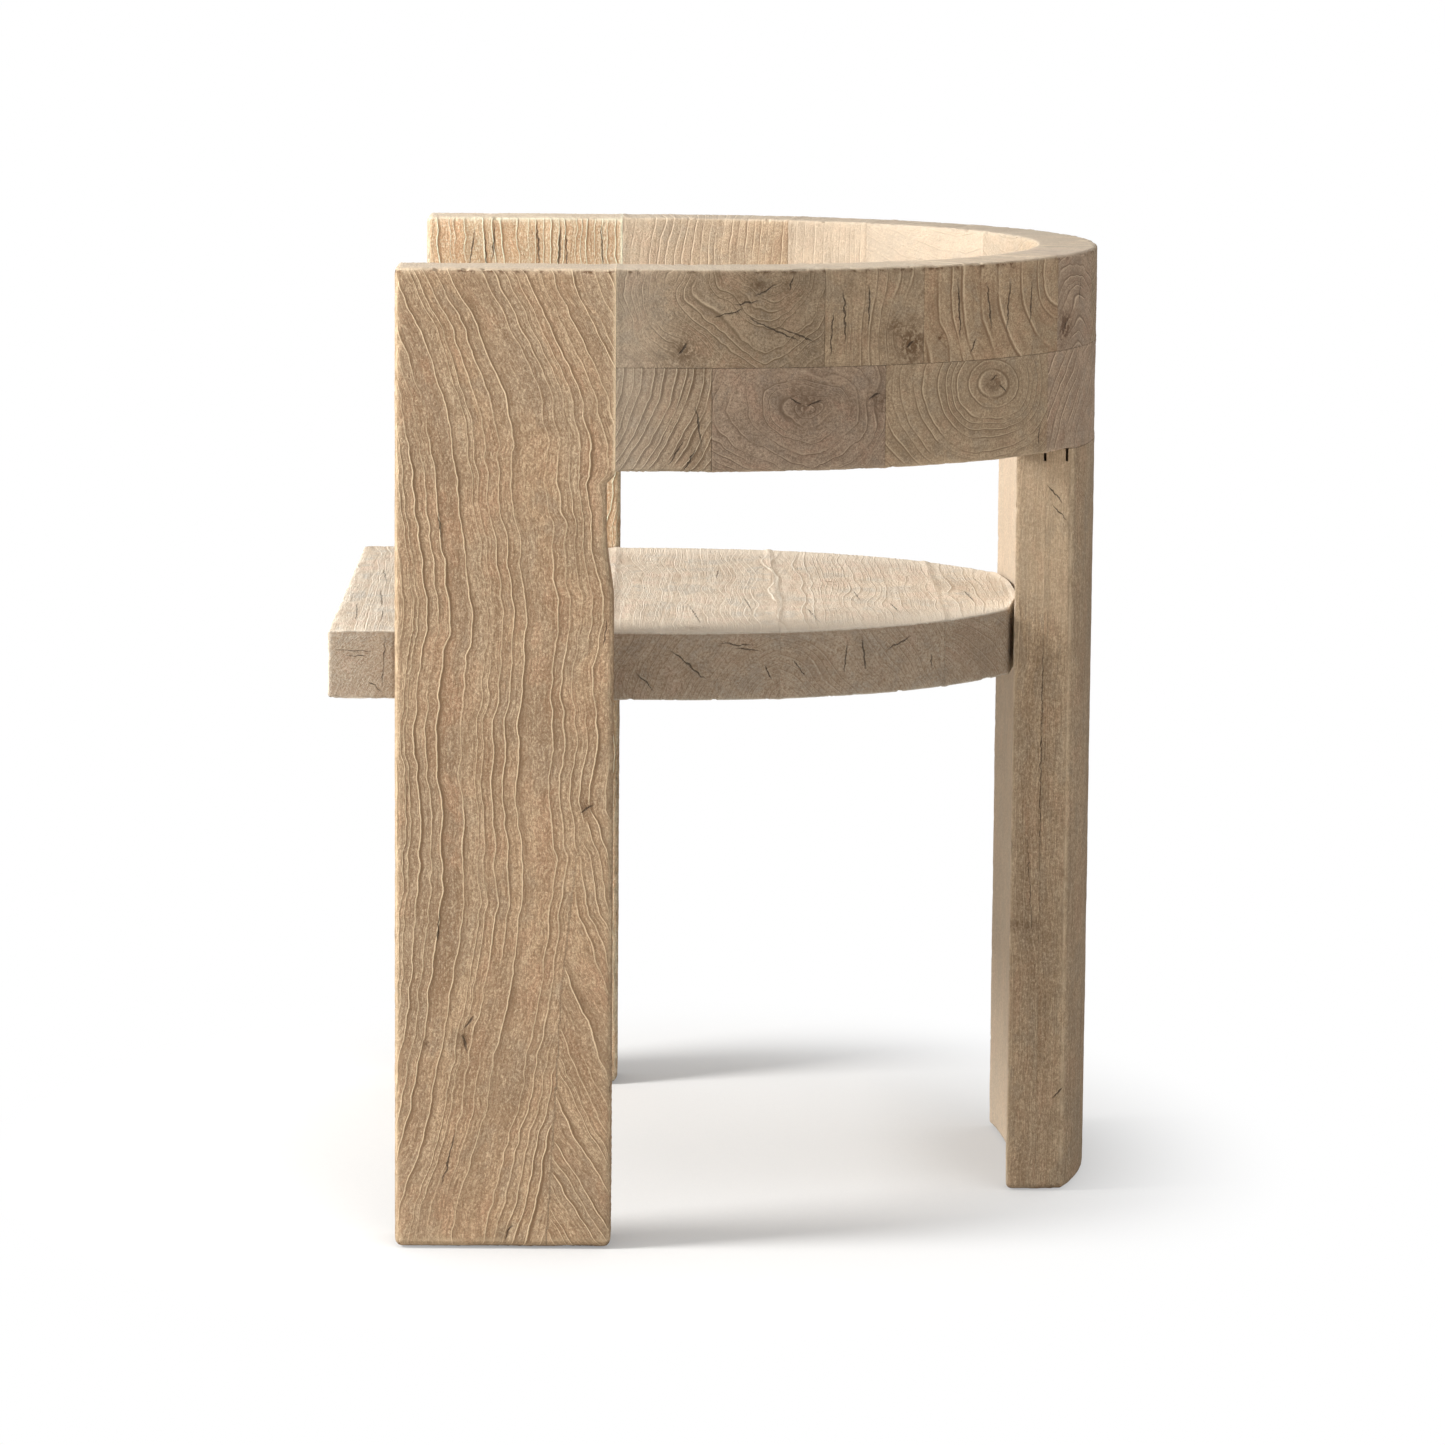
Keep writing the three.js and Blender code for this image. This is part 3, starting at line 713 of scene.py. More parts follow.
    if splits:
        bend = wire(tree, "ShaderNodeTexNoise",
                    {"Vector": place, "Scale": 170, "Detail": 4})["Color"]
        bend = wire(tree, "ShaderNodeVectorMath", {0: bend, 1: (0.5, 0.5, 0.5)},
                    operation="SUBTRACT")[0]
        bend = wire(tree, "ShaderNodeVectorMath", {0: bend, "Scale": split_bend},
                    operation="SCALE")[0]
        bent = wire(tree, "ShaderNodeVectorMath", {0: place, 1: bend}, operation="ADD")[0]
        opened = None
        for centre, turn, size in splits:
            local = wire(tree, "ShaderNodeMapping",
                         {"Vector": bent, "Location": [c * MM for c in centre],
                          "Rotation": [math.radians(t) for t in turn],
                          "Scale": [s * MM for s in size]}, vector_type="TEXTURE")[0]
            far_out = wire(tree, "ShaderNodeVectorMath", {0: local}, operation="LENGTH")["Value"]
            one = limits(far_out, 1.0, 0.4)
            opened = one if opened is None else math_node("MAXIMUM", opened, one)
        crack_tone = tuple(c * 0.2 for c in dark[:3]) + (1,)
        colour = mix(math_node("MULTIPLY", opened, 0.75), colour, crack_tone)
        height = math_node("SUBTRACT", height, math_node("MULTIPLY", opened, 1.6))

    rough = limits(specks, 0.3, 0.7, 0.72, 0.92)
    rough = math_node("SUBTRACT", rough, math_node("MULTIPLY", worn, 0.10))
    bump = wire(tree, "ShaderNodeBump",
                {"Height": height, "Strength": 1.0, "Distance": bump_height})[0]
    wood = wire(tree, "ShaderNodeBsdfPrincipled",
                {"Base Color": colour, "Roughness": rough, "Normal": bump,
                 "Specular IOR Level": 0.28})
    wire(tree, "ShaderNodeOutputMaterial", {"Surface": wood[0]})
    return material


def finish_piece(piece, material, node):
    """Gives the piece its finish, and lets it stand for its solid."""
    piece.data.materials.clear()
    piece.data.materials.append(material)
    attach(piece, "root")
    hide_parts(node)
    count = sum(len(f.vertices) - 2 for f in piece.data.polygons)
    print(f"{piece.name}: {count} triangles")
    return count


triangles = 0

# %% [markdown]
# ## Front leg boards
#
# Each leg is one broad plank on edge. The grain wanders down it in long waves, leans over near
# the top and folds like a feather at the lower rear corner, where the trunk forked. The rear
# edge is rounded only below the band, because above it the band was planed flush with the board.
# Just under the band, wear has hollowed the near board's rear edge by a few millimetres.

# %% Leg boards
board_cell = (2.5 * MM, 1.25 * MM, 3 * MM)
board_edge, foot_edge = 5 * MM, 7 * MM
foot_top, foot_low = 30 * MM, 10 * MM
outer_half = 300 * MM
board_rear = -81 * MM
board_width = 166 * MM
fan_reach = 60 * MM
worn_depth = 6 * MM
band_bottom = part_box("band_lower_block_1")[0].z
seat_bottom, seat_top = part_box("seat_board_1")[0].z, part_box("seat_board_1")[1].z

near_lean = [(0, 2), (120, -29), (200, -42), (300, -50), (445, -50), (490, -59), (525, -55),
             (585, -45), (640, -41), (690, -25), (750, 2)]
far_lean = [(0, 20), (140, 34), (300, 12), (430, 25), (600, 5), (680, 10), (750, 16)]

board_tones = [(0.24, 0.148, 0.082), (0.53, 0.358, 0.220), (0.42, 0.306, 0.207),
               (0.78, 0.61, 0.41)]


def brighter(tones, factor):
    """The same set of colours, lighter or darker by a factor."""
    return [tuple(min(0.9, c * factor) for c in tone) for tone in tones]


# Each knot's place across and up in millimetres, its size, how dark and how deep it is, and how
# far it turns the rings
near_knots = [(147, 342, 5, 0.6, 0.6, 0.2), (54, 163, 6, 0.5, 1.0, 0.4),
              (25, 159, 2.2, 1.0, 1.2, 0.1), (37, 573, 2.5, 0.4, 0.3, 0.1),
              (86, 10, 5, 0.25, 1.2, 0.3)]
far_knots = [(60, 690, 4, 0.5, 0.4, 0.4), (110, 420, 7, 0.7, 0.8, 0.8), (40, 150, 5, 0.6, 0.6, 0.5)]


def near_fan(wide, up):
    """The extra lean of the lines towards the upper rear corner."""
    down = chair_top - up
    return -0.2 * (wide / board_width) ** 2 * fan_reach * (1 - np.exp(-down / fan_reach))


spine_top = 0.34
spine_line = [(0, 0.10, 0.20, 0.30, spine_top), (0.116, 0.122, 0.127, 0.138, 0.147)]
spine_width = 2.2 * MM
crook_drift = -50 * MM


def near_feather(wide, up, place, drift):
    """Below the crook the lines on the rear side fan out, like one half of a feather."""
    spine = np.interp(up, *spine_line)
    below = np.clip(spine_top - up, 0, None)
    turned = place - drift + crook_drift - 0.20 * below - 0.5 * below ** 2
    inside = (wide > spine) & (below > 0)
    quiet = np.where(below > 0, 1 - np.exp(-(((wide - spine) / spine_width) ** 2)), 1)
    return np.where(inside, turned, place), quiet


def no_fan(wide, up):
    """For boards whose lines don't fan out."""
    return 0 * wide


def split_on_side(x, y, z, lean, width, length):
    """A split in a side face of a board, in millimetres: lean is its angle from upright."""
    return ((x, y, z), (lean, 0, 0), (4, width, length))


def split_on_front(x, y, z, length):
    """An upright split in the narrow front face of a board."""
    return ((x, y, z), (0, 0, 0), (0.8, 4, length))


near_outside = [(-193, 160, 16, 1.3, 9), (-190, 176, -38, 0.9, 7), (-160, 12, -22, 0.9, 9),
                (-213, 250, -4, 0.6, 16), (-205, 70, -14, 0.6, 26), (-101, 341, -62, 0.8, 7),
                (-212, 555, 3, 0.5, 12), (-88, 475, -8, 0.5, 12)]
far_inside = [(-208, 722, -8, 0.8, 20), (-196, 715, 3, 0.7, 30), (-190, 728, -4, 1.0, 20),
              (-152, 725, 4, 0.9, 26), (-134, 722, -3, 1.1, 24), (-128, 715, 2, 0.8, 30),
              (-98, 724, 3, 0.8, 22)]
near_splits = [split_on_side(300, *row) for row in near_outside]
near_splits += [split_on_side(250, -150, 300, 5, 0.8, 60), split_on_front(275, -247, 240, 70)]
far_splits = [split_on_side(-250, *row) for row in far_inside]
far_splits += [split_on_side(-300, -140, 300, 4, 0.9, 60),
               split_on_side(-300, -200, 90, -8, 0.8, 40), split_on_front(-275, -247, 520, 60)]


def worn_rear_edge(p):
    """Just below the band the near board's rear edge is hollowed by wear."""
    down = band_bottom - p[:, 2]
    begins, ends = smooth_step(down, 2 * MM, 9 * MM), smooth_step(down, 45 * MM, 105 * MM)
    near_edge = smooth_step(p[:, 1], board_rear - 38 * MM, board_rear)
    p[:, 1] -= worn_depth * begins * (1 - ends) * near_edge
    return p


def at_foot(p):
    """1 at the floor and 0 from three centimetres up."""
    return smooth_step(p[:, 2], foot_top, foot_low)


def make_board(node, side, tones, lean, fan, feather, knots, splits, seed, shape=None):
    """One leg board, sawn, worn and finished."""
    low, high = (np.array(c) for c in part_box(node))
    piece = saw(node + "_worn", low, high, board_cell)
    p = points_of(piece.data)
    free = np.ones((len(p), 2, 3))
    free[:, 1, 1] = p[:, 2] < band_bottom - MM
    radius = board_edge + (foot_edge - board_edge) * at_foot(p)

    def across(q):
        return q[:, 1] - low[1], (q[:, 0] - side * outer_half) * side, q[:, 2]

    plain = board_figure(across, 0.95, lean, fan, seed, knots, feather, ring=7.4, lines=1.2)

    def figure(q):
        """Beside the band a painted highlight runs along the rear edge, and a painted line of
        bounce light from the floor runs round the foot. Lower down the rear edge is darker. On the
        narrow front face the lines are a little flatter."""
        made = plain(q)
        made["crest"] *= 1 - 0.35 * smooth_step(low[1] + 2 * MM - q[:, 1], 0, MM)
        to_rear = high[1] - q[:, 1]
        beside_band = q[:, 2] > band_bottom
        made["proud"] = 1.8 * np.exp(-(to_rear / (1.6 * MM)) ** 2) * beside_band
        foot_bounce_light = np.exp(-((q[:, 2] - 5 * MM) / (2 * MM)) ** 2)
        made["proud"] = np.maximum(made["proud"], foot_bounce_light * (0.8 + noise(q, 20 * MM, seed + 30)))
        dark_rear_edge = 0.34 * np.exp(-(to_rear / (2.6 * MM)) ** 2) * ~beside_band
        outside = q[:, 0] * side > outer_half - outer_skin
        made["mark"] = np.maximum(np.maximum(made["mark"], dark_rear_edge), ragged_top(q, seed) * outside)
        return made

    wear(piece, low, high, free, radius, figure, shape, seed)
    material = wood_finish(node + "_wood", tones, splits, contrast=1.3, seed=seed * 0.37,
                           grit=1.1)
    return finish_piece(piece, material, node)


triangles += make_board("front_leg_left", 1, brighter(board_tones, 1.11), near_lean, near_fan,
                        near_feather, near_knots, near_splits, 11, worn_rear_edge)
# The far board's colours are made half again as pale as the near board's: painted light, for its
# brightly lit inner face.
triangles += make_board("front_leg_right", -1, brighter(board_tones, 1.70), far_lean, no_fan, None,
                        far_knots, far_splits, 23)

# %% [markdown]
# ## The curved band
#
# Arms and back are one wall of blocks with the end grain outward, brick-laid in two courses. A
# block is sawn straight and worn, and only then bent to its place: its length runs along the
# outer face of the curve, its depth from the outer to the inner face. The curve is a short
# straight and half an ellipse, measured off from the leg board.

# %% The band's curve
bend_centre = -39 * MM
inner_half = 250 * MM
outer_reach, inner_reach = 340 * MM, 290 * MM
band_depth = outer_half - inner_half
glue_line = 0.3 * MM

turn = np.linspace(0, math.pi, 8001)
outer = np.stack([outer_half * np.cos(turn), bend_centre + outer_reach * np.sin(turn)], axis=1)
inner = np.stack([inner_half * np.cos(turn), bend_centre + inner_reach * np.sin(turn)], axis=1)
outer = np.concatenate([[(outer_half, board_rear)], outer, [(-outer_half, board_rear)]])
inner = np.concatenate([[(inner_half, board_rear)], inner, [(-inner_half, board_rear)]])
way = np.concatenate([[0], np.cumsum(np.linalg.norm(np.diff(outer, axis=0), axis=1))])
band_length = way[-1]
print("band length:", round(band_length * 1000), "mm")


def bend_round(p):
    """Takes (along, deep, up) to its place on the band."""
    along, share = p[:, 0], p[:, 1:2] / band_depth
    out_at = np.stack([np.interp(along, way, outer[:, i]) for i in range(2)], axis=1)
    in_at = np.stack([np.interp(along, way, inner[:, i]) for i in range(2)], axis=1)
    plan = out_at * (1 - share) + in_at * share
    return np.concatenate([plan, p[:, 2:]], axis=1)


def joints_along(shares):
    """The joints' distances from the left board, mirrored about the back's middle."""
    half = [share * band_length / 2 for share in shares]
    mirrored = [band_length - s for s in half if s < band_length / 2 - MM][::-1]
    return [0, *half, *mirrored, band_length]


lower_joints = joints_along([0.132, 0.383, 0.699, 1])
upper_joints = joints_along([0.29, 0.443, 0.725, 0.87])

# %% [markdown]
# ## The blocks' own figures
#
# No two blocks are alike, so each has a row of its own: where its pith lies, how the rings are
# stretched and spaced, how ridged it is, its tone, its knots and its splits. The near side
# follows the chair that was looked at, and the hidden side is made up in the same manner.

# %% The blocks' figures
olive = [(0.23, 0.160, 0.098), (0.52, 0.385, 0.252), (0.45, 0.345, 0.232), (0.72, 0.57, 0.40)]
umber = [(0.21, 0.145, 0.098), (0.48, 0.350, 0.245), (0.42, 0.318, 0.235), (0.68, 0.53, 0.39)]
orange = [(0.24, 0.155, 0.090), (0.565, 0.412, 0.262), (0.48, 0.365, 0.24), (0.74, 0.58, 0.40)]
warm = [(0.27, 0.182, 0.112), (0.58, 0.430, 0.285), (0.51, 0.390, 0.270), (0.78, 0.63, 0.45)]
pale = [(0.33, 0.230, 0.145), (0.64, 0.490, 0.335), (0.58, 0.455, 0.325), (0.82, 0.69, 0.52)]

lower_blocks = [
    dict(pith=(0, 672), stretch=(0.0062, 1), ring=0, ridged=0.7, tones=warm, relief=1.4, wobble=0.8,
         bright=0.82, strength=1.4,
         lines=[0, 6, 14, 20, 29, 36, 45, 52, 57, 66, 72, 80, 88, 97, 105, 114]),
    dict(pith=(144, 646), stretch=(1.2, 0.85), ring=5.2, tones=umber, wobble=1.7, relief=1.0,
         bright=1.0, strength=0.85,
         knots=[(144, 646, 14, 0.55, 0.3, 0.9), (203, 648, 8, 0.65, 0.5, 0.7)]),
    dict(pith=(314, 656), stretch=(1.35, 0.95), ring=7.0, tones=olive, wobble=0.8, relief=1.3,
         knots=[(314, 656, 11, 0.55, 0.3, 0.5)]),
    dict(pith=(575, 545), stretch=(1.2, 1), ring=8.0, tones=umber, wobble=1.2, bright=1.3),
    dict(pith=(600, 690), stretch=(1.4, 0.8), ring=7.5, tones=olive),
    dict(pith=(780, 590), stretch=(1.1, 1.1), ring=7.0, tones=pale),
    dict(pith=(935, 648), stretch=(1.2, 0.9), ring=5.5, tones=olive,
         knots=[(935, 648, 8, 0.3, 0.3, 0.4)]),
    dict(pith=(1130, 630), stretch=(1, 1.6), ring=7.5, ridged=0.7, tones=warm, relief=1.3),
]
upper_blocks = [
    dict(pith=(112, 745), stretch=(1, 1.15), ring=5.2, ridged=0.4, tones=olive, wobble=2.2,
         relief=1.2, bright=0.9, strength=1.1,
         knots=[(52, 687, 14, 0.62, 0.6, 1.8), (107, 737, 6, 0.65, 0.7, 0.8),
                (128, 736, 5, 0.5, 0.5, 0.5), (92, 728, 5, 0.3, 0.4, 0.4)]),
    dict(pith=(200, 712), stretch=(0.0012, 1), ring=0, tones=olive, wobble=0.35, relief=1.2,
         lines=[100, 110, 120, 132, 145, 156, 159, 161.5, 164, 167, 169, 172, 175, 178, 181, 184,
                193, 203, 212, 224, 235, 247, 258, 270],
         knots=[(232, 690, 17, 0.85, 0.9, 1.5), (218, 702, 9, 0.7, 0.5, 0.5)]),
    dict(pith=(402, 738), stretch=(1.25, 1.3), ring=13, tones=orange, wobble=0.7, relief=1.5,
         knots=[(258, 694, 3, 0.9, 1.2, 0.2), (333, 745, 3.5, 0.7, 0.8, 0.2),
                (262, 686, 6, 0.35, 0.4, 0.4)]),
    dict(pith=(430, 640), stretch=(1, 1.3), ring=7.5, tones=umber, wobble=1.4, bright=1.25,
         knots=[(411, 693, 11, 1.1, 1.0, 1.2), (404, 684, 6, 0.6, 0.5, 0.4)]),
    dict(pith=(546, 640), stretch=(1.3, 1), ring=8, tones=olive),
    dict(pith=(650, 790), stretch=(1, 1), ring=8, tones=pale, strength=0.9, inner_light=(0.4, 0.55),
         bright=0.82),
    dict(pith=(740, 900), stretch=(1.3, 1), ring=9, tones=warm, strength=0.9, inner_light=(0.82, 0.82),
         bright=0.88),
    dict(pith=(900, 712), stretch=(0.001, 1), ring=0, tones=warm, wobble=0.5,
         inner_light=(0.66, 0.56), bright=0.97,
         lines=[830, 838, 846, 853, 862, 868, 873, 878, 884, 892, 901, 911, 922, 931, 940, 950]),
    dict(pith=(1010, 640), stretch=(0.0006, 1), ring=0, tones=warm, wobble=0.7, ridged=0.2,
         inner_light=(0, 0.45), bright=1.02,
         lines=[925, 934, 942, 950, 959, 966, 973, 979, 986, 994, 1001, 1009, 1016, 1022, 1029,
                1037, 1046, 1053, 1061, 1068, 1076, 1085, 1093, 1102]),
]
print("blocks:", len(lower_blocks), "below and", len(upper_blocks), "above")

# %% Laying the courses
band_cell = (1.6 * MM, 2.5 * MM, 1.6 * MM)
band_edge = 3.4 * MM
leg_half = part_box("rear_leg_rear_plank")[1].x


def place_on_band(along, up):
    """A point of the band's outer face, for splits. All is in millimetres."""
    return tuple(bend_round(np.array([[along * MM, 0, up * MM]]))[0] / MM)


def facing(along):
    """The angle by which the outer face has turned away from the left side."""
    a, b = bend_round(np.array([[(along - 1) * MM, 0, 0], [(along + 1) * MM, 0, 0]]))
    return math.degrees(math.atan2(b[1] - a[1], b[0] - a[0])) - 90


def split_on_band(along, up, lean, length, width=0.7):
    """A split in the outer face: lean is its angle from upright, towards the rear at the top."""
    return (place_on_band(along, up), (-lean, 0, facing(along)), (4, width, length / 2))


# For each block: along and up in millimetres, lean, length and perhaps width
band_splits = {
    ("lower", 1): [(62, 632, -8, 34), (46, 612, 30, 26), (56, 606, 28, 22)],
    ("lower", 2): [(150, 648, 70, 16), (136, 650, -60, 12), (200, 652, 70, 12, 1.0)],
    ("lower", 3): [(312, 660, 60, 10), (322, 652, -50, 12), (370, 612, 10, 20)],
    ("lower", 5): [(620, 640, 5, 40), (580, 620, -10, 30)],
    ("upper", 1): [(112, 733, 60, 22), (98, 724, 78, 22), (118, 704, -66, 60, 0.6),
                   (136, 700, -70, 40, 0.5), (84, 716, 75, 30, 0.5), (50, 690, 40, 14, 1.0),
                   (132, 738, 20, 14)],
    ("upper", 2): [(164, 700, 3, 44, 0.6), (174, 712, -2, 50, 0.6), (194, 720, 2, 40, 0.6),
                   (230, 690, 50, 10, 1.0)],
    ("upper", 3): [(275, 714, -4, 52, 0.9), (306, 716, -8, 44, 0.9), (328, 716, 6, 50, 1.0),
                   (356, 716, 4, 40, 0.8), (290, 686, 30, 16, 0.8)],
    ("upper", 4): [(412, 694, 35, 18, 1.2), (440, 720, 10, 30)],
    ("upper", 5): [(560, 715, 3, 50), (520, 700, -8, 30)],
    ("upper", 8): [(900, 715, 3, 44)],
}


def lay_course(course, joints, rows, first_seed):
    """Saws, wears, bends and finishes each block of a course."""
    total = 0
    for i, row in enumerate(rows):
        node = f"band_{course}_block_{i + 1}"
        bottom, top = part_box(node)[0].z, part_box(node)[1].z
        low = (joints[i] + glue_line / 2, 0, bottom)
        high = (joints[i + 1] - glue_line / 2, band_depth, top)
        piece = saw(node + "_worn", low, high, band_cell)
        p = points_of(piece.data)
        free = np.zeros((len(p), 2, 3))
        free[:, :, 1] = 1
        free[:, 1, 2] = course == "upper"
        free[:, 0, 2] = course == "lower"
        over_leg = np.abs(bend_round(p)[:, 0]) < leg_half
        free[over_leg & (p[:, 1] < band_depth / 2), 0, 2] = 0
        seed = first_seed + i * 7
        looks = {key: value for key, value in row.items() if key not in ("tones", "bright")}
        wear(piece, low, high, free, np.full(len(p), band_edge), end_figure(seed=seed, **looks),
             bend_round, seed)
        tones = brighter(row["tones"], row.get("bright", 1.12))
        splits = [split_on_band(*split) for split in band_splits.get((course, i + 1), ())]
        material = wood_finish(node + "_wood", tones, splits, row.get("ridged", 0.3),
                               contrast=1.4, seed=seed * 0.31, grit=0.85)
        total += finish_piece(piece, material, node)
    return total


triangles += lay_course("lower", lower_joints, lower_blocks, 101)
triangles += lay_course("upper", upper_joints, upper_blocks, 201)

# %% [markdown]
# ## Seat
#
# The seat is five thick boards glued edge to edge, with the grain from side to side, so the rim
# shows end grain and the top shows long wavy lines across the chair. It is the palest part,
# bleached and worn. The top rolls down a little towards the rim and meets it at a crisp line, and
# only the front edge is properly round. Behind, the seat is hollowed to stay clear of the rear
# leg by a few millimetres.

# %% Seat boards
seat_cell = (3 * MM, 1.6 * MM, 2.5 * MM)
seat_edge, seat_front_edge = 1.6 * MM, 3.5 * MM
roll_width, roll_depth = 9 * MM, 1.4 * MM
seat_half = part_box("seat_board_1")[1].x
seat_round = 294 * MM
hollow_radius = 600 * MM
leg_face = 241 * MM
leg_gap = 3 * MM
corner_gap = 0.9 * MM
corner_from, corner_to = 45 * MM, 82 * MM
pith_aside, pith_below, pith_spread = 75 * MM, 15 * MM, 20 * MM
lit_rim_reach = 55 * MM
lit_rim_from, lit_rim_to = -140 * MM, -40 * MM
front_zone = -250 * MM
settling_rounds = 8
seat_tones = [(0.42, 0.32, 0.23), (0.79, 0.695, 0.565), (0.73, 0.645, 0.53), (0.90, 0.86, 0.76)]
seat_glue_line = 0.1 * MM


def half_width(y):
    """Half the seat's width at a distance from front to back."""
    behind = np.clip((y - bend_centre) / seat_round, 0, 0.999)
    return seat_half * np.sqrt(1 - behind ** 2)


def hollow(x):
    """How far the leg's hollow front face comes forward at a distance from the middle."""
    return hollow_radius - np.sqrt(hollow_radius ** 2 - x ** 2)


def seat_figure(seed, knots, ring, side):
    """Long grain from side to side, whose rings curve round a pith below the board. side says
    towards which of its edges the pith lies."""
    def figure(p):
        x, y, z = p[:, 0], p[:, 1], p[:, 2]
        spot = np.stack([x, y, z * 2], axis=1)
        shift = 7 * MM * noise(spot, (190 * MM, 80 * MM, 90 * MM), seed)
        shift += 6 * MM * noise(spot, (85 * MM, 45 * MM, 60 * MM), seed + 1)
        shift += 1.7 * MM * noise(spot, (36 * MM, 26 * MM, 30 * MM), seed + 2)
        centre = np.random.RandomState(seed).uniform(-pith_spread, pith_spread)
        pith_y = y.mean() + side * pith_aside + centre + shift
        distance = np.hypot(y - pith_y, (z - seat_bottom + pith_below) * 1.2)
        push, mark, dent = knot_effects(np.stack([x, y], axis=1), p, knots, seed)
        rings = ring_number(distance, ring * MM, 0.45, seed + 3) + push
        fibre = np.stack([y + shift, z, x], axis=1)
        crest = strength_of(rings, fibre, seed + 4) * (1 - 0.8 * mark)
        rim = smooth_step(np.abs(x), half_width(y) - 3 * MM, half_width(y) - MM)
        from_rim = half_width(y) - np.abs(x)
        # Painted light: near the rim, from about the leg boards' rear edge backwards, the top is
        # made paler, against the shadow that the front leg boards cast on it.
        painted_rim_light = np.exp(-(from_rim / lit_rim_reach) ** 2) * smooth_step(y, lit_rim_from, lit_rim_to)
        crest = np.minimum(crest, 0.62) * (1 - 0.3 * rim)
        arris_line = np.exp(-(((seat_top - z - 2.4 * MM) / (1.5 * MM)) ** 2))
        mark = np.maximum(mark, 0.42 * rim * arris_line)
        return {"rings": rings, "crest": crest, "fibre": fibre, "mark": mark, "dent": dent,
                "relief": 2.3 - 0.9 * rim, "ridged": 0.75,
                "end_share": lambda out: out[:, 0] ** 2 * np.where(y < front_zone, 0.6, 1),
                "pale_share": lambda out: 1.5 * painted_rim_light * np.clip(out[:, 2], 0, 1) ** 2}

    return figure


def shape_seat_board(piece, last):
    """Draws the board's ends in to the round of the seat, and its rear edge to the hollow. Each
    depends on the other, so they are worked out in turn until they have settled."""
    p = points_of(piece.data)
    front, back = p[:, 1].min(), p[:, 1].max()
    share = (p[:, 1] - front) / (back - front)
    part = p[:, 0] / seat_half
    rear = np.full(len(p), back)
    for _ in range(settling_rounds):
        p[:, 0] = part * half_width(p[:, 1])
        if last:
            corner = smooth_step(np.abs(p[:, 0]), corner_from, corner_to)
            rear = leg_face - leg_gap - hollow(p[:, 0]) - corner_gap * corner
            p[:, 1] = front + share * (rear - front)
    piece.data.vertices.foreach_set("co", p.astype(np.float32).ravel())
    half, same = half_width(p[:, 1]), np.ones(len(p))
    low = np.stack([-half, front * same, seat_bottom * same], axis=1)
    high = np.stack([half, rear, seat_top * same], axis=1)
    return low, high


def roll_rim(p):
    """Lets the top roll down a little towards the rim and the front edge."""
    to_rim = np.clip(half_width(p[:, 1]) - np.abs(p[:, 0]), 0, None)
    to_front = np.clip(p[:, 1] - seat_front, 0, None)
    near = np.minimum(to_rim, to_front) / roll_width
    drop = roll_depth * np.clip(1 - near, 0, 1) ** 2
    drop *= 1 + 0.3 * noise(p, 60 * MM, 77)
    height = np.clip((p[:, 2] - seat_bottom) / (seat_top - seat_bottom), 0, 1)
    p[:, 2] -= drop * height ** 3
    return p


seat_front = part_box("seat_board_1")[0].y
seat_rows = [
    dict(ring=4.2, side=1, knots=[(200, -250, 5, 0.35, 0.4, 0.4)]),
    dict(ring=4.4, side=-1, knots=[(-120, -150, 7, 0.4, 0.5, 0.7)]),
    dict(ring=4.2, side=1, knots=[(226, -20, 8, 0.4, 0.5, 0.8)]),
    dict(ring=4.5, side=-1, knots=[(-40, 92, 4, 0.75, 0.5, 0.3), (237, 80, 7, 0.5, 0.5, 0.6)]),
    dict(ring=4.2, side=-1, knots=[]),
]


split_height = 469


def split_on_rim(y, z, lean, length, width=0.6):
    """A split in the near side of the rim: lean is its angle from upright, towards the front."""
    x = half_width(y * MM)
    outward = math.atan2(seat_half ** 2 * (y * MM - bend_centre), seat_round ** 2 * x)
    return ((x / MM, y, z), (lean, 0, max(0, math.degrees(outward))), (4, width, length / 2))


def split_on_top(x, y, lean, length, width=0.55):
    """A fine split along the grain of the top: lean is its angle from straight across."""
    return ((x, y, split_height), (0, 0, lean), (length / 2, width, 4))


rim_splits = {
    1: [(-280, 453, 86, 30, 0.3), (-278, 449, 88, 20, 0.3), (-257, 446, -3, 46, 0.35),
        (-264, 426, 50, 18, 0.4)],
    3: [(12, 459, 86, 30, 0.5), (20, 455, 80, 22, 0.5), (-30, 448, 52, 26, 0.6),
        (-22, 441, 48, 34, 0.7), (-58, 430, 45, 22, 0.6), (36, 437, 30, 14, 0.5)],
    4: [(96, 446, -8, 26, 0.8), (110, 448, 8, 30, 0.9), (138, 454, -68, 28, 0.7),
        (60, 440, 35, 16, 0.5), (164, 438, 5, 14, 0.5)],
}
top_splits = {
    1: [(150, -283, 3, 110), (70, -268, 4, 120), (170, -262, 2, 60), (-60, -272, 5, 90),
        (60, -240, -3, 80)],
    2: [(190, -176, 4, 70), (60, -150, -4, 90), (-120, -120, 3, 80)],
    3: [(150, -20, 5, 120), (90, 22, 4, 90), (-80, 0, -3, 80)],
    4: [(150, 72, 6, 110), (40, 110, 4, 70), (110, 138, 7, 60)],
    5: [(40, 200, 5, 70)],
}

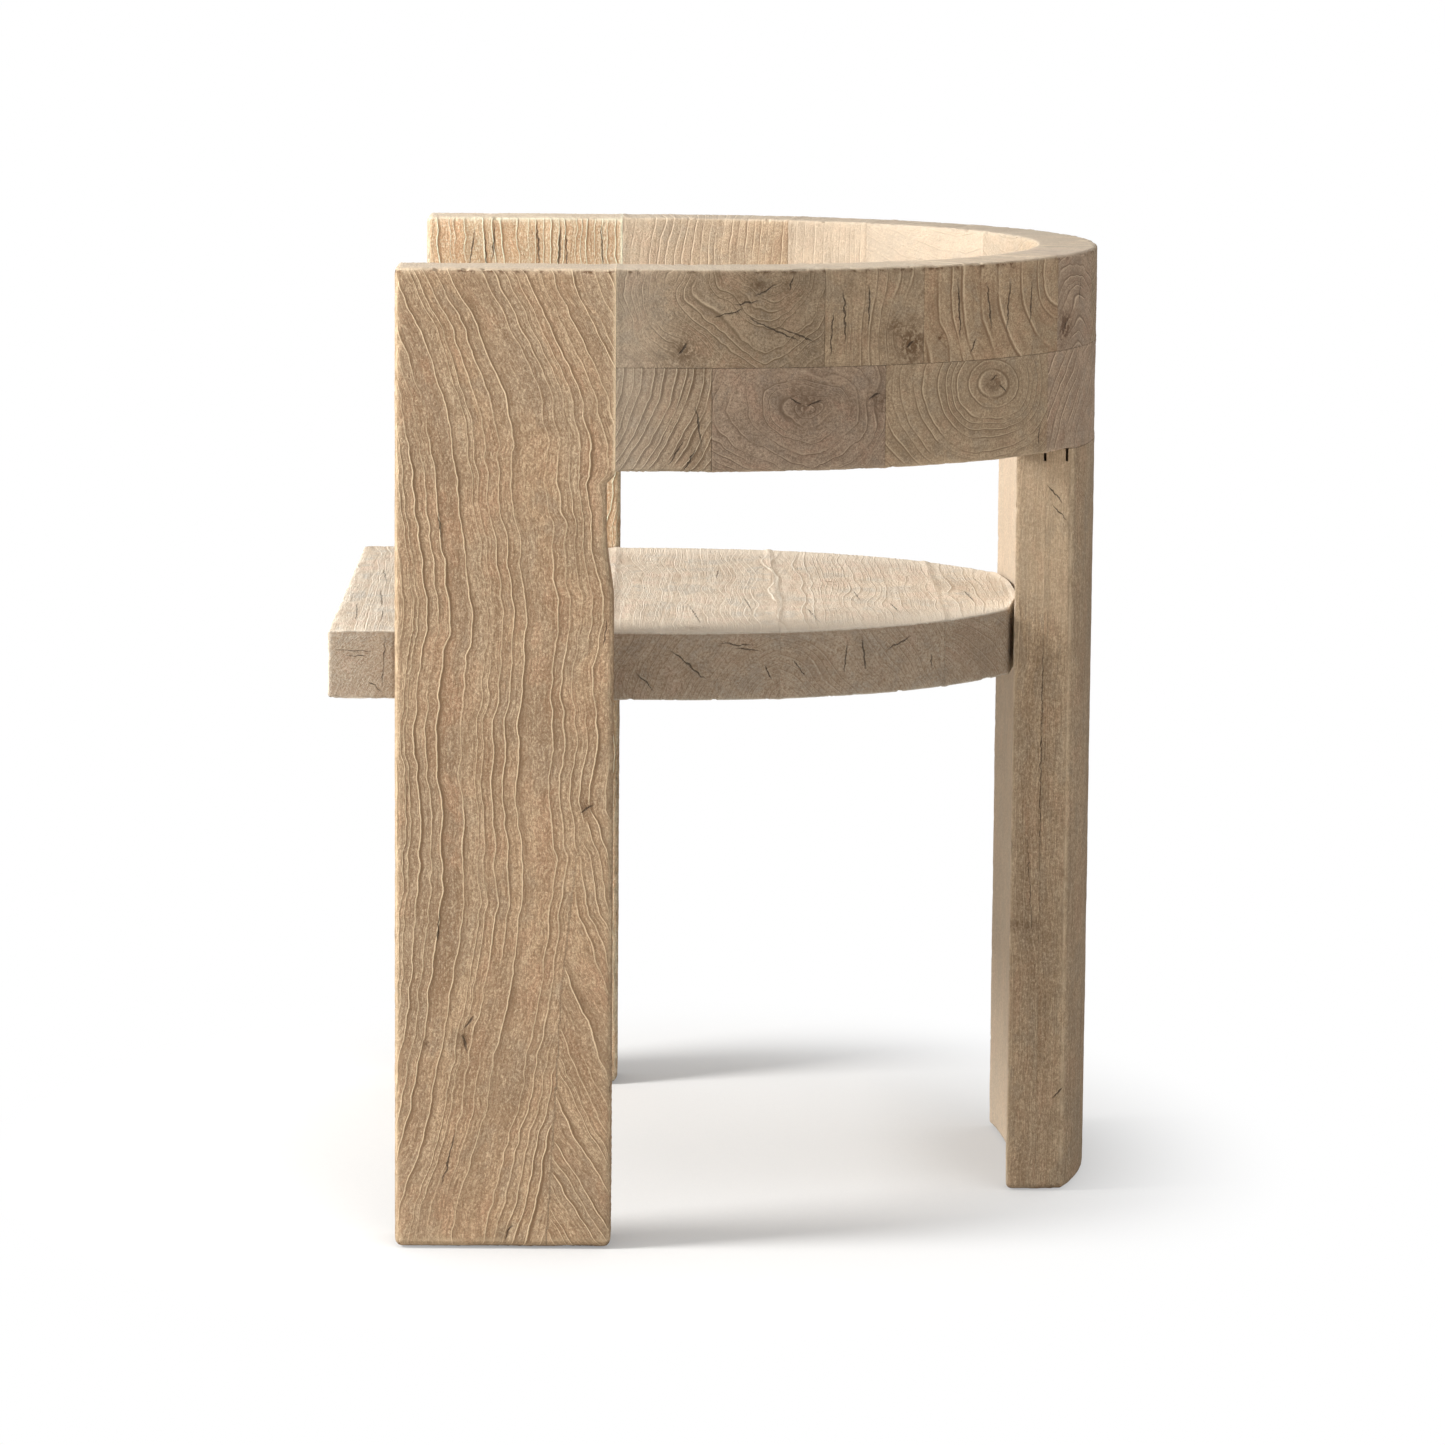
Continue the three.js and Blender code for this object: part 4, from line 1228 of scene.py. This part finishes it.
for i, row in enumerate(seat_rows):
    node = f"seat_board_{i + 1}"
    box_low, box_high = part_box(node)
    last = i == len(seat_rows) - 1
    closer = (glue_line - seat_glue_line) / 2
    low = (-seat_half, box_low.y - closer * (i > 0), seat_bottom)
    high = (seat_half, box_high.y + closer * (not last), seat_top)
    piece = saw(node + "_worn", low, high, seat_cell)
    low, high = shape_seat_board(piece, last)
    free = [[1, i == 0, 1], [1, 0, 1]]
    seed = 301 + i * 9
    to_front = points_of(piece.data)[:, 1] - seat_front
    radius = seat_edge + (seat_front_edge - seat_edge) * smooth_step(to_front, 16 * MM, 7 * MM)
    figure = seat_figure(seed, row["knots"], row["ring"], row["side"])
    wear(piece, low, high, free, radius, figure, roll_rim, seed, 0.04)
    splits = [split_on_rim(*split) for split in rim_splits.get(i + 1, ())]
    splits += [split_on_top(*split) for split in top_splits.get(i + 1, ())]
    material = wood_finish(node + "_wood", seat_tones, splits, contrast=1.1, seed=seed * 0.29,
                           grit=0.8)
    triangles += finish_piece(piece, material, node)

# %% [markdown]
# ## Rear leg
#
# The rear leg is two planks glued face to face. Its front is hollow, its outer face follows the
# band, and the rear plank carries the tenon that goes up into the band. Whoever cut the tenon's
# shoulder let the saw run too deep, and the two kerfs still show under the band.

# %% Rear leg planks
leg_cell = (1.6 * MM, 2.5 * MM, 3 * MM)
leg_edge, leg_foot_edge = 3.2 * MM, 5.2 * MM
glue_plane = 255 * MM
tenon_thickness = 15 * MM
kerf_width, kerf_depth = 2 * MM, 10 * MM
# Edge of the painted light on the rear leg's side: its slope and the heights where it fades in
seat_shadow_slope, seat_shadow_y = 0.63, 230 * MM
seat_shadow_low, seat_shadow_high = 465 * MM, 495 * MM
leg_tones = [(0.225, 0.150, 0.088), (0.525, 0.372, 0.234), (0.45, 0.33, 0.218),
             (0.72, 0.56, 0.385)]
leg_lean = [(0, 8), (150, 2), (300, 10), (420, 4), (600, 0)]


def front_face(x):
    """Where the hollow front of the leg lies at a distance from the middle."""
    return leg_face - hollow(x)


def front_glue_face(x):
    """The flat face of the front plank, which is glued to the rear one."""
    return glue_plane + 0 * x


def rear_glue_face(x):
    """The flat face of the rear plank."""
    return glue_plane + glue_line / 2 + 0 * x


def outer_face(x):
    """The leg's outer face, which follows the band."""
    return bend_centre + outer_reach * np.sqrt(1 - (x / outer_half) ** 2)


def cut_out(piece, low, high):
    """Cuts a box out of the piece."""
    bpy.ops.object.select_all(action="DESELECT")
    bpy.ops.mesh.primitive_cube_add(size=1, location=[(a + b) / 2 for a, b in zip(low, high)])
    tool = bpy.context.object
    tool.scale = [b - a for a, b in zip(low, high)]
    bpy.ops.object.transform_apply(location=True, rotation=False, scale=True)
    step = piece.modifiers.new("saw_cut", "BOOLEAN")
    step.operation = "DIFFERENCE"
    step.object = tool
    step.solver = "EXACT"
    tool.select_set(False)
    piece.select_set(True)
    bpy.context.view_layer.objects.active = piece
    bpy.ops.object.modifier_apply(modifier=step.name)
    bpy.data.objects.remove(tool)


def shape_plank(piece, face_of, back_of):
    """Gives a straight plank its curved front and back."""
    p = points_of(piece.data)
    share = (p[:, 1] - p[:, 1].min()) / (p[:, 1].max() - p[:, 1].min())
    p[:, 1] = face_of(p[:, 0]) * (1 - share) + back_of(p[:, 0]) * share
    piece.data.vertices.foreach_set("co", p.astype(np.float32).ravel())
    piece.data.update()


def make_plank(node, face_of, back_of, free_y, kerf, seed, knots, splits):
    """One plank of the rear leg."""
    low, high = (np.array(c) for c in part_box(node))
    high[2] = band_bottom - glue_line
    piece = saw(node + "_worn", low, high, leg_cell)
    shape_plank(piece, face_of, back_of)
    cut_out(piece, (-1, kerf, high[2] - kerf_depth), (1, kerf + kerf_width, 1))
    p = points_of(piece.data)
    same = np.ones(len(p))
    bottom = np.stack([low[0] * same, face_of(p[:, 0]), low[2] * same], axis=1)
    top = np.stack([high[0] * same, back_of(p[:, 0]), high[2] * same], axis=1)
    in_front = free_y == "front"
    free = [[1, in_front, 1], [1, not in_front, 0]]
    radius = leg_edge + (leg_foot_edge - leg_edge) * at_foot(p)

    def across(q):
        return q[:, 0] + leg_half, q[:, 1] - glue_plane, q[:, 2]

    # Painted light: the hollow front face of the front plank is made paler, as if lit from the
    # front.
    def painted_light_side(out):
        return 0.68 * in_front * smooth_step(-out[:, 1], 0.5, 0.9)

    plain = board_figure(across, 1.1, leg_lean, no_fan, seed, knots, ring=5.0, wave=3.5,
                         relief=0.45, lines=0.45, painted_light_side=painted_light_side)

    def figure(q):
        """Painted light: above a line that runs down towards the rear from the seat's top, the side
        face is paler, where the seat no longer shades it from the front lamp.
        """
        made = plain(q)
        above = q[:, 2] + seat_shadow_slope * (q[:, 1] - seat_shadow_y)
        on_side = np.abs(q[:, 0]) > high[0] - MM / 2
        made["proud"] = 0.5 * smooth_step(above, seat_shadow_low, seat_shadow_high) * on_side
        return made

    wear(piece, bottom, top, free, radius, figure, seed=seed, seam=0.25)
    material = wood_finish(node + "_wood", leg_tones, splits, contrast=1.2, seed=seed * 0.33,
                           grit=1.1)
    return finish_piece(piece, material, node)


front_splits = [split_on_side(112, 254.6, 354, 0, 0.36, 115),
                split_on_side(112, 247, 250, 4, 0.3, 50),
                ((40, 241, 330), (0, 4, 0), (0.7, 4, 70))]
rear_splits = [split_on_side(112, 272, 80, -40, 0.8, 8), split_on_side(112, 262, 560, 40, 0.5, 12),
               split_on_side(112, 266, 545, 45, 0.5, 10),
               ((-30, 300, 300), (0, 2, 0), (0.8, 5, 110)),
               ((60, 294, 120), (0, -3, 0), (0.7, 5, 60))]
front_kerf = glue_plane - kerf_width
rear_kerf = glue_plane + glue_line / 2 + tenon_thickness
triangles += make_plank("rear_leg_front_plank", front_face, front_glue_face, "front", front_kerf,
                        401, [(222, 215, 6, 0.5, 0.6, 0.3)], front_splits)
triangles += make_plank("rear_leg_rear_plank", rear_glue_face, outer_face, "back", rear_kerf,
                        431, [(110, 330, 9, 0.5, 0.7, 0.8)], rear_splits)

# %% [markdown]
# ## Tenons and dowels
#
# The loose tenons and the dowels stay as their solids, out of sight inside the joints. They get
# a plain clean wood with fine straight fibres.

# %% Joinery finish
clean_pale, clean_brown = (0.62, 0.47, 0.31, 1), (0.44, 0.31, 0.19, 1)
clean_clouds = (0.52, 0.4, 0.27, 1)


def joinery_finish():
    """Clean straight wood, with fine fibres that run upright."""
    material = bpy.data.materials.new("joinery_wood")
    material.use_nodes = True
    tree = material.node_tree
    tree.nodes.clear()
    place = wire(tree, "ShaderNodeTexCoord")["Object"]
    drawn = wire(tree, "ShaderNodeMapping", {"Vector": place, "Scale": (1, 1, 0.06)})[0]
    fibres = wire(tree, "ShaderNodeTexNoise", {"Vector": drawn, "Scale": 700, "Detail": 3})[0]
    clouds = wire(tree, "ShaderNodeTexNoise", {"Vector": place, "Scale": 60, "Detail": 2})[0]
    blend = wire(tree, "ShaderNodeMix", {0: fibres, 6: clean_pale, 7: clean_brown},
                 data_type="RGBA")[2]
    shade = wire(tree, "ShaderNodeMix", {0: clouds, 6: blend, 7: clean_clouds},
                 data_type="RGBA")[2]
    bump = wire(tree, "ShaderNodeBump",
                {"Height": fibres, "Strength": 0.4, "Distance": 0.3 * MM})[0]
    wood = wire(tree, "ShaderNodeBsdfPrincipled", {"Base Color": shade, "Normal": bump,
                                                   "Roughness": 0.8})
    wire(tree, "ShaderNodeOutputMaterial", {"Surface": wood[0]})
    return material


joinery = joinery_finish()
for name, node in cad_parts.items():
    if "tenon" in name or "dowel" in name:
        node.data.materials.clear()
        node.data.materials.append(joinery)
print("triangles:", triangles)
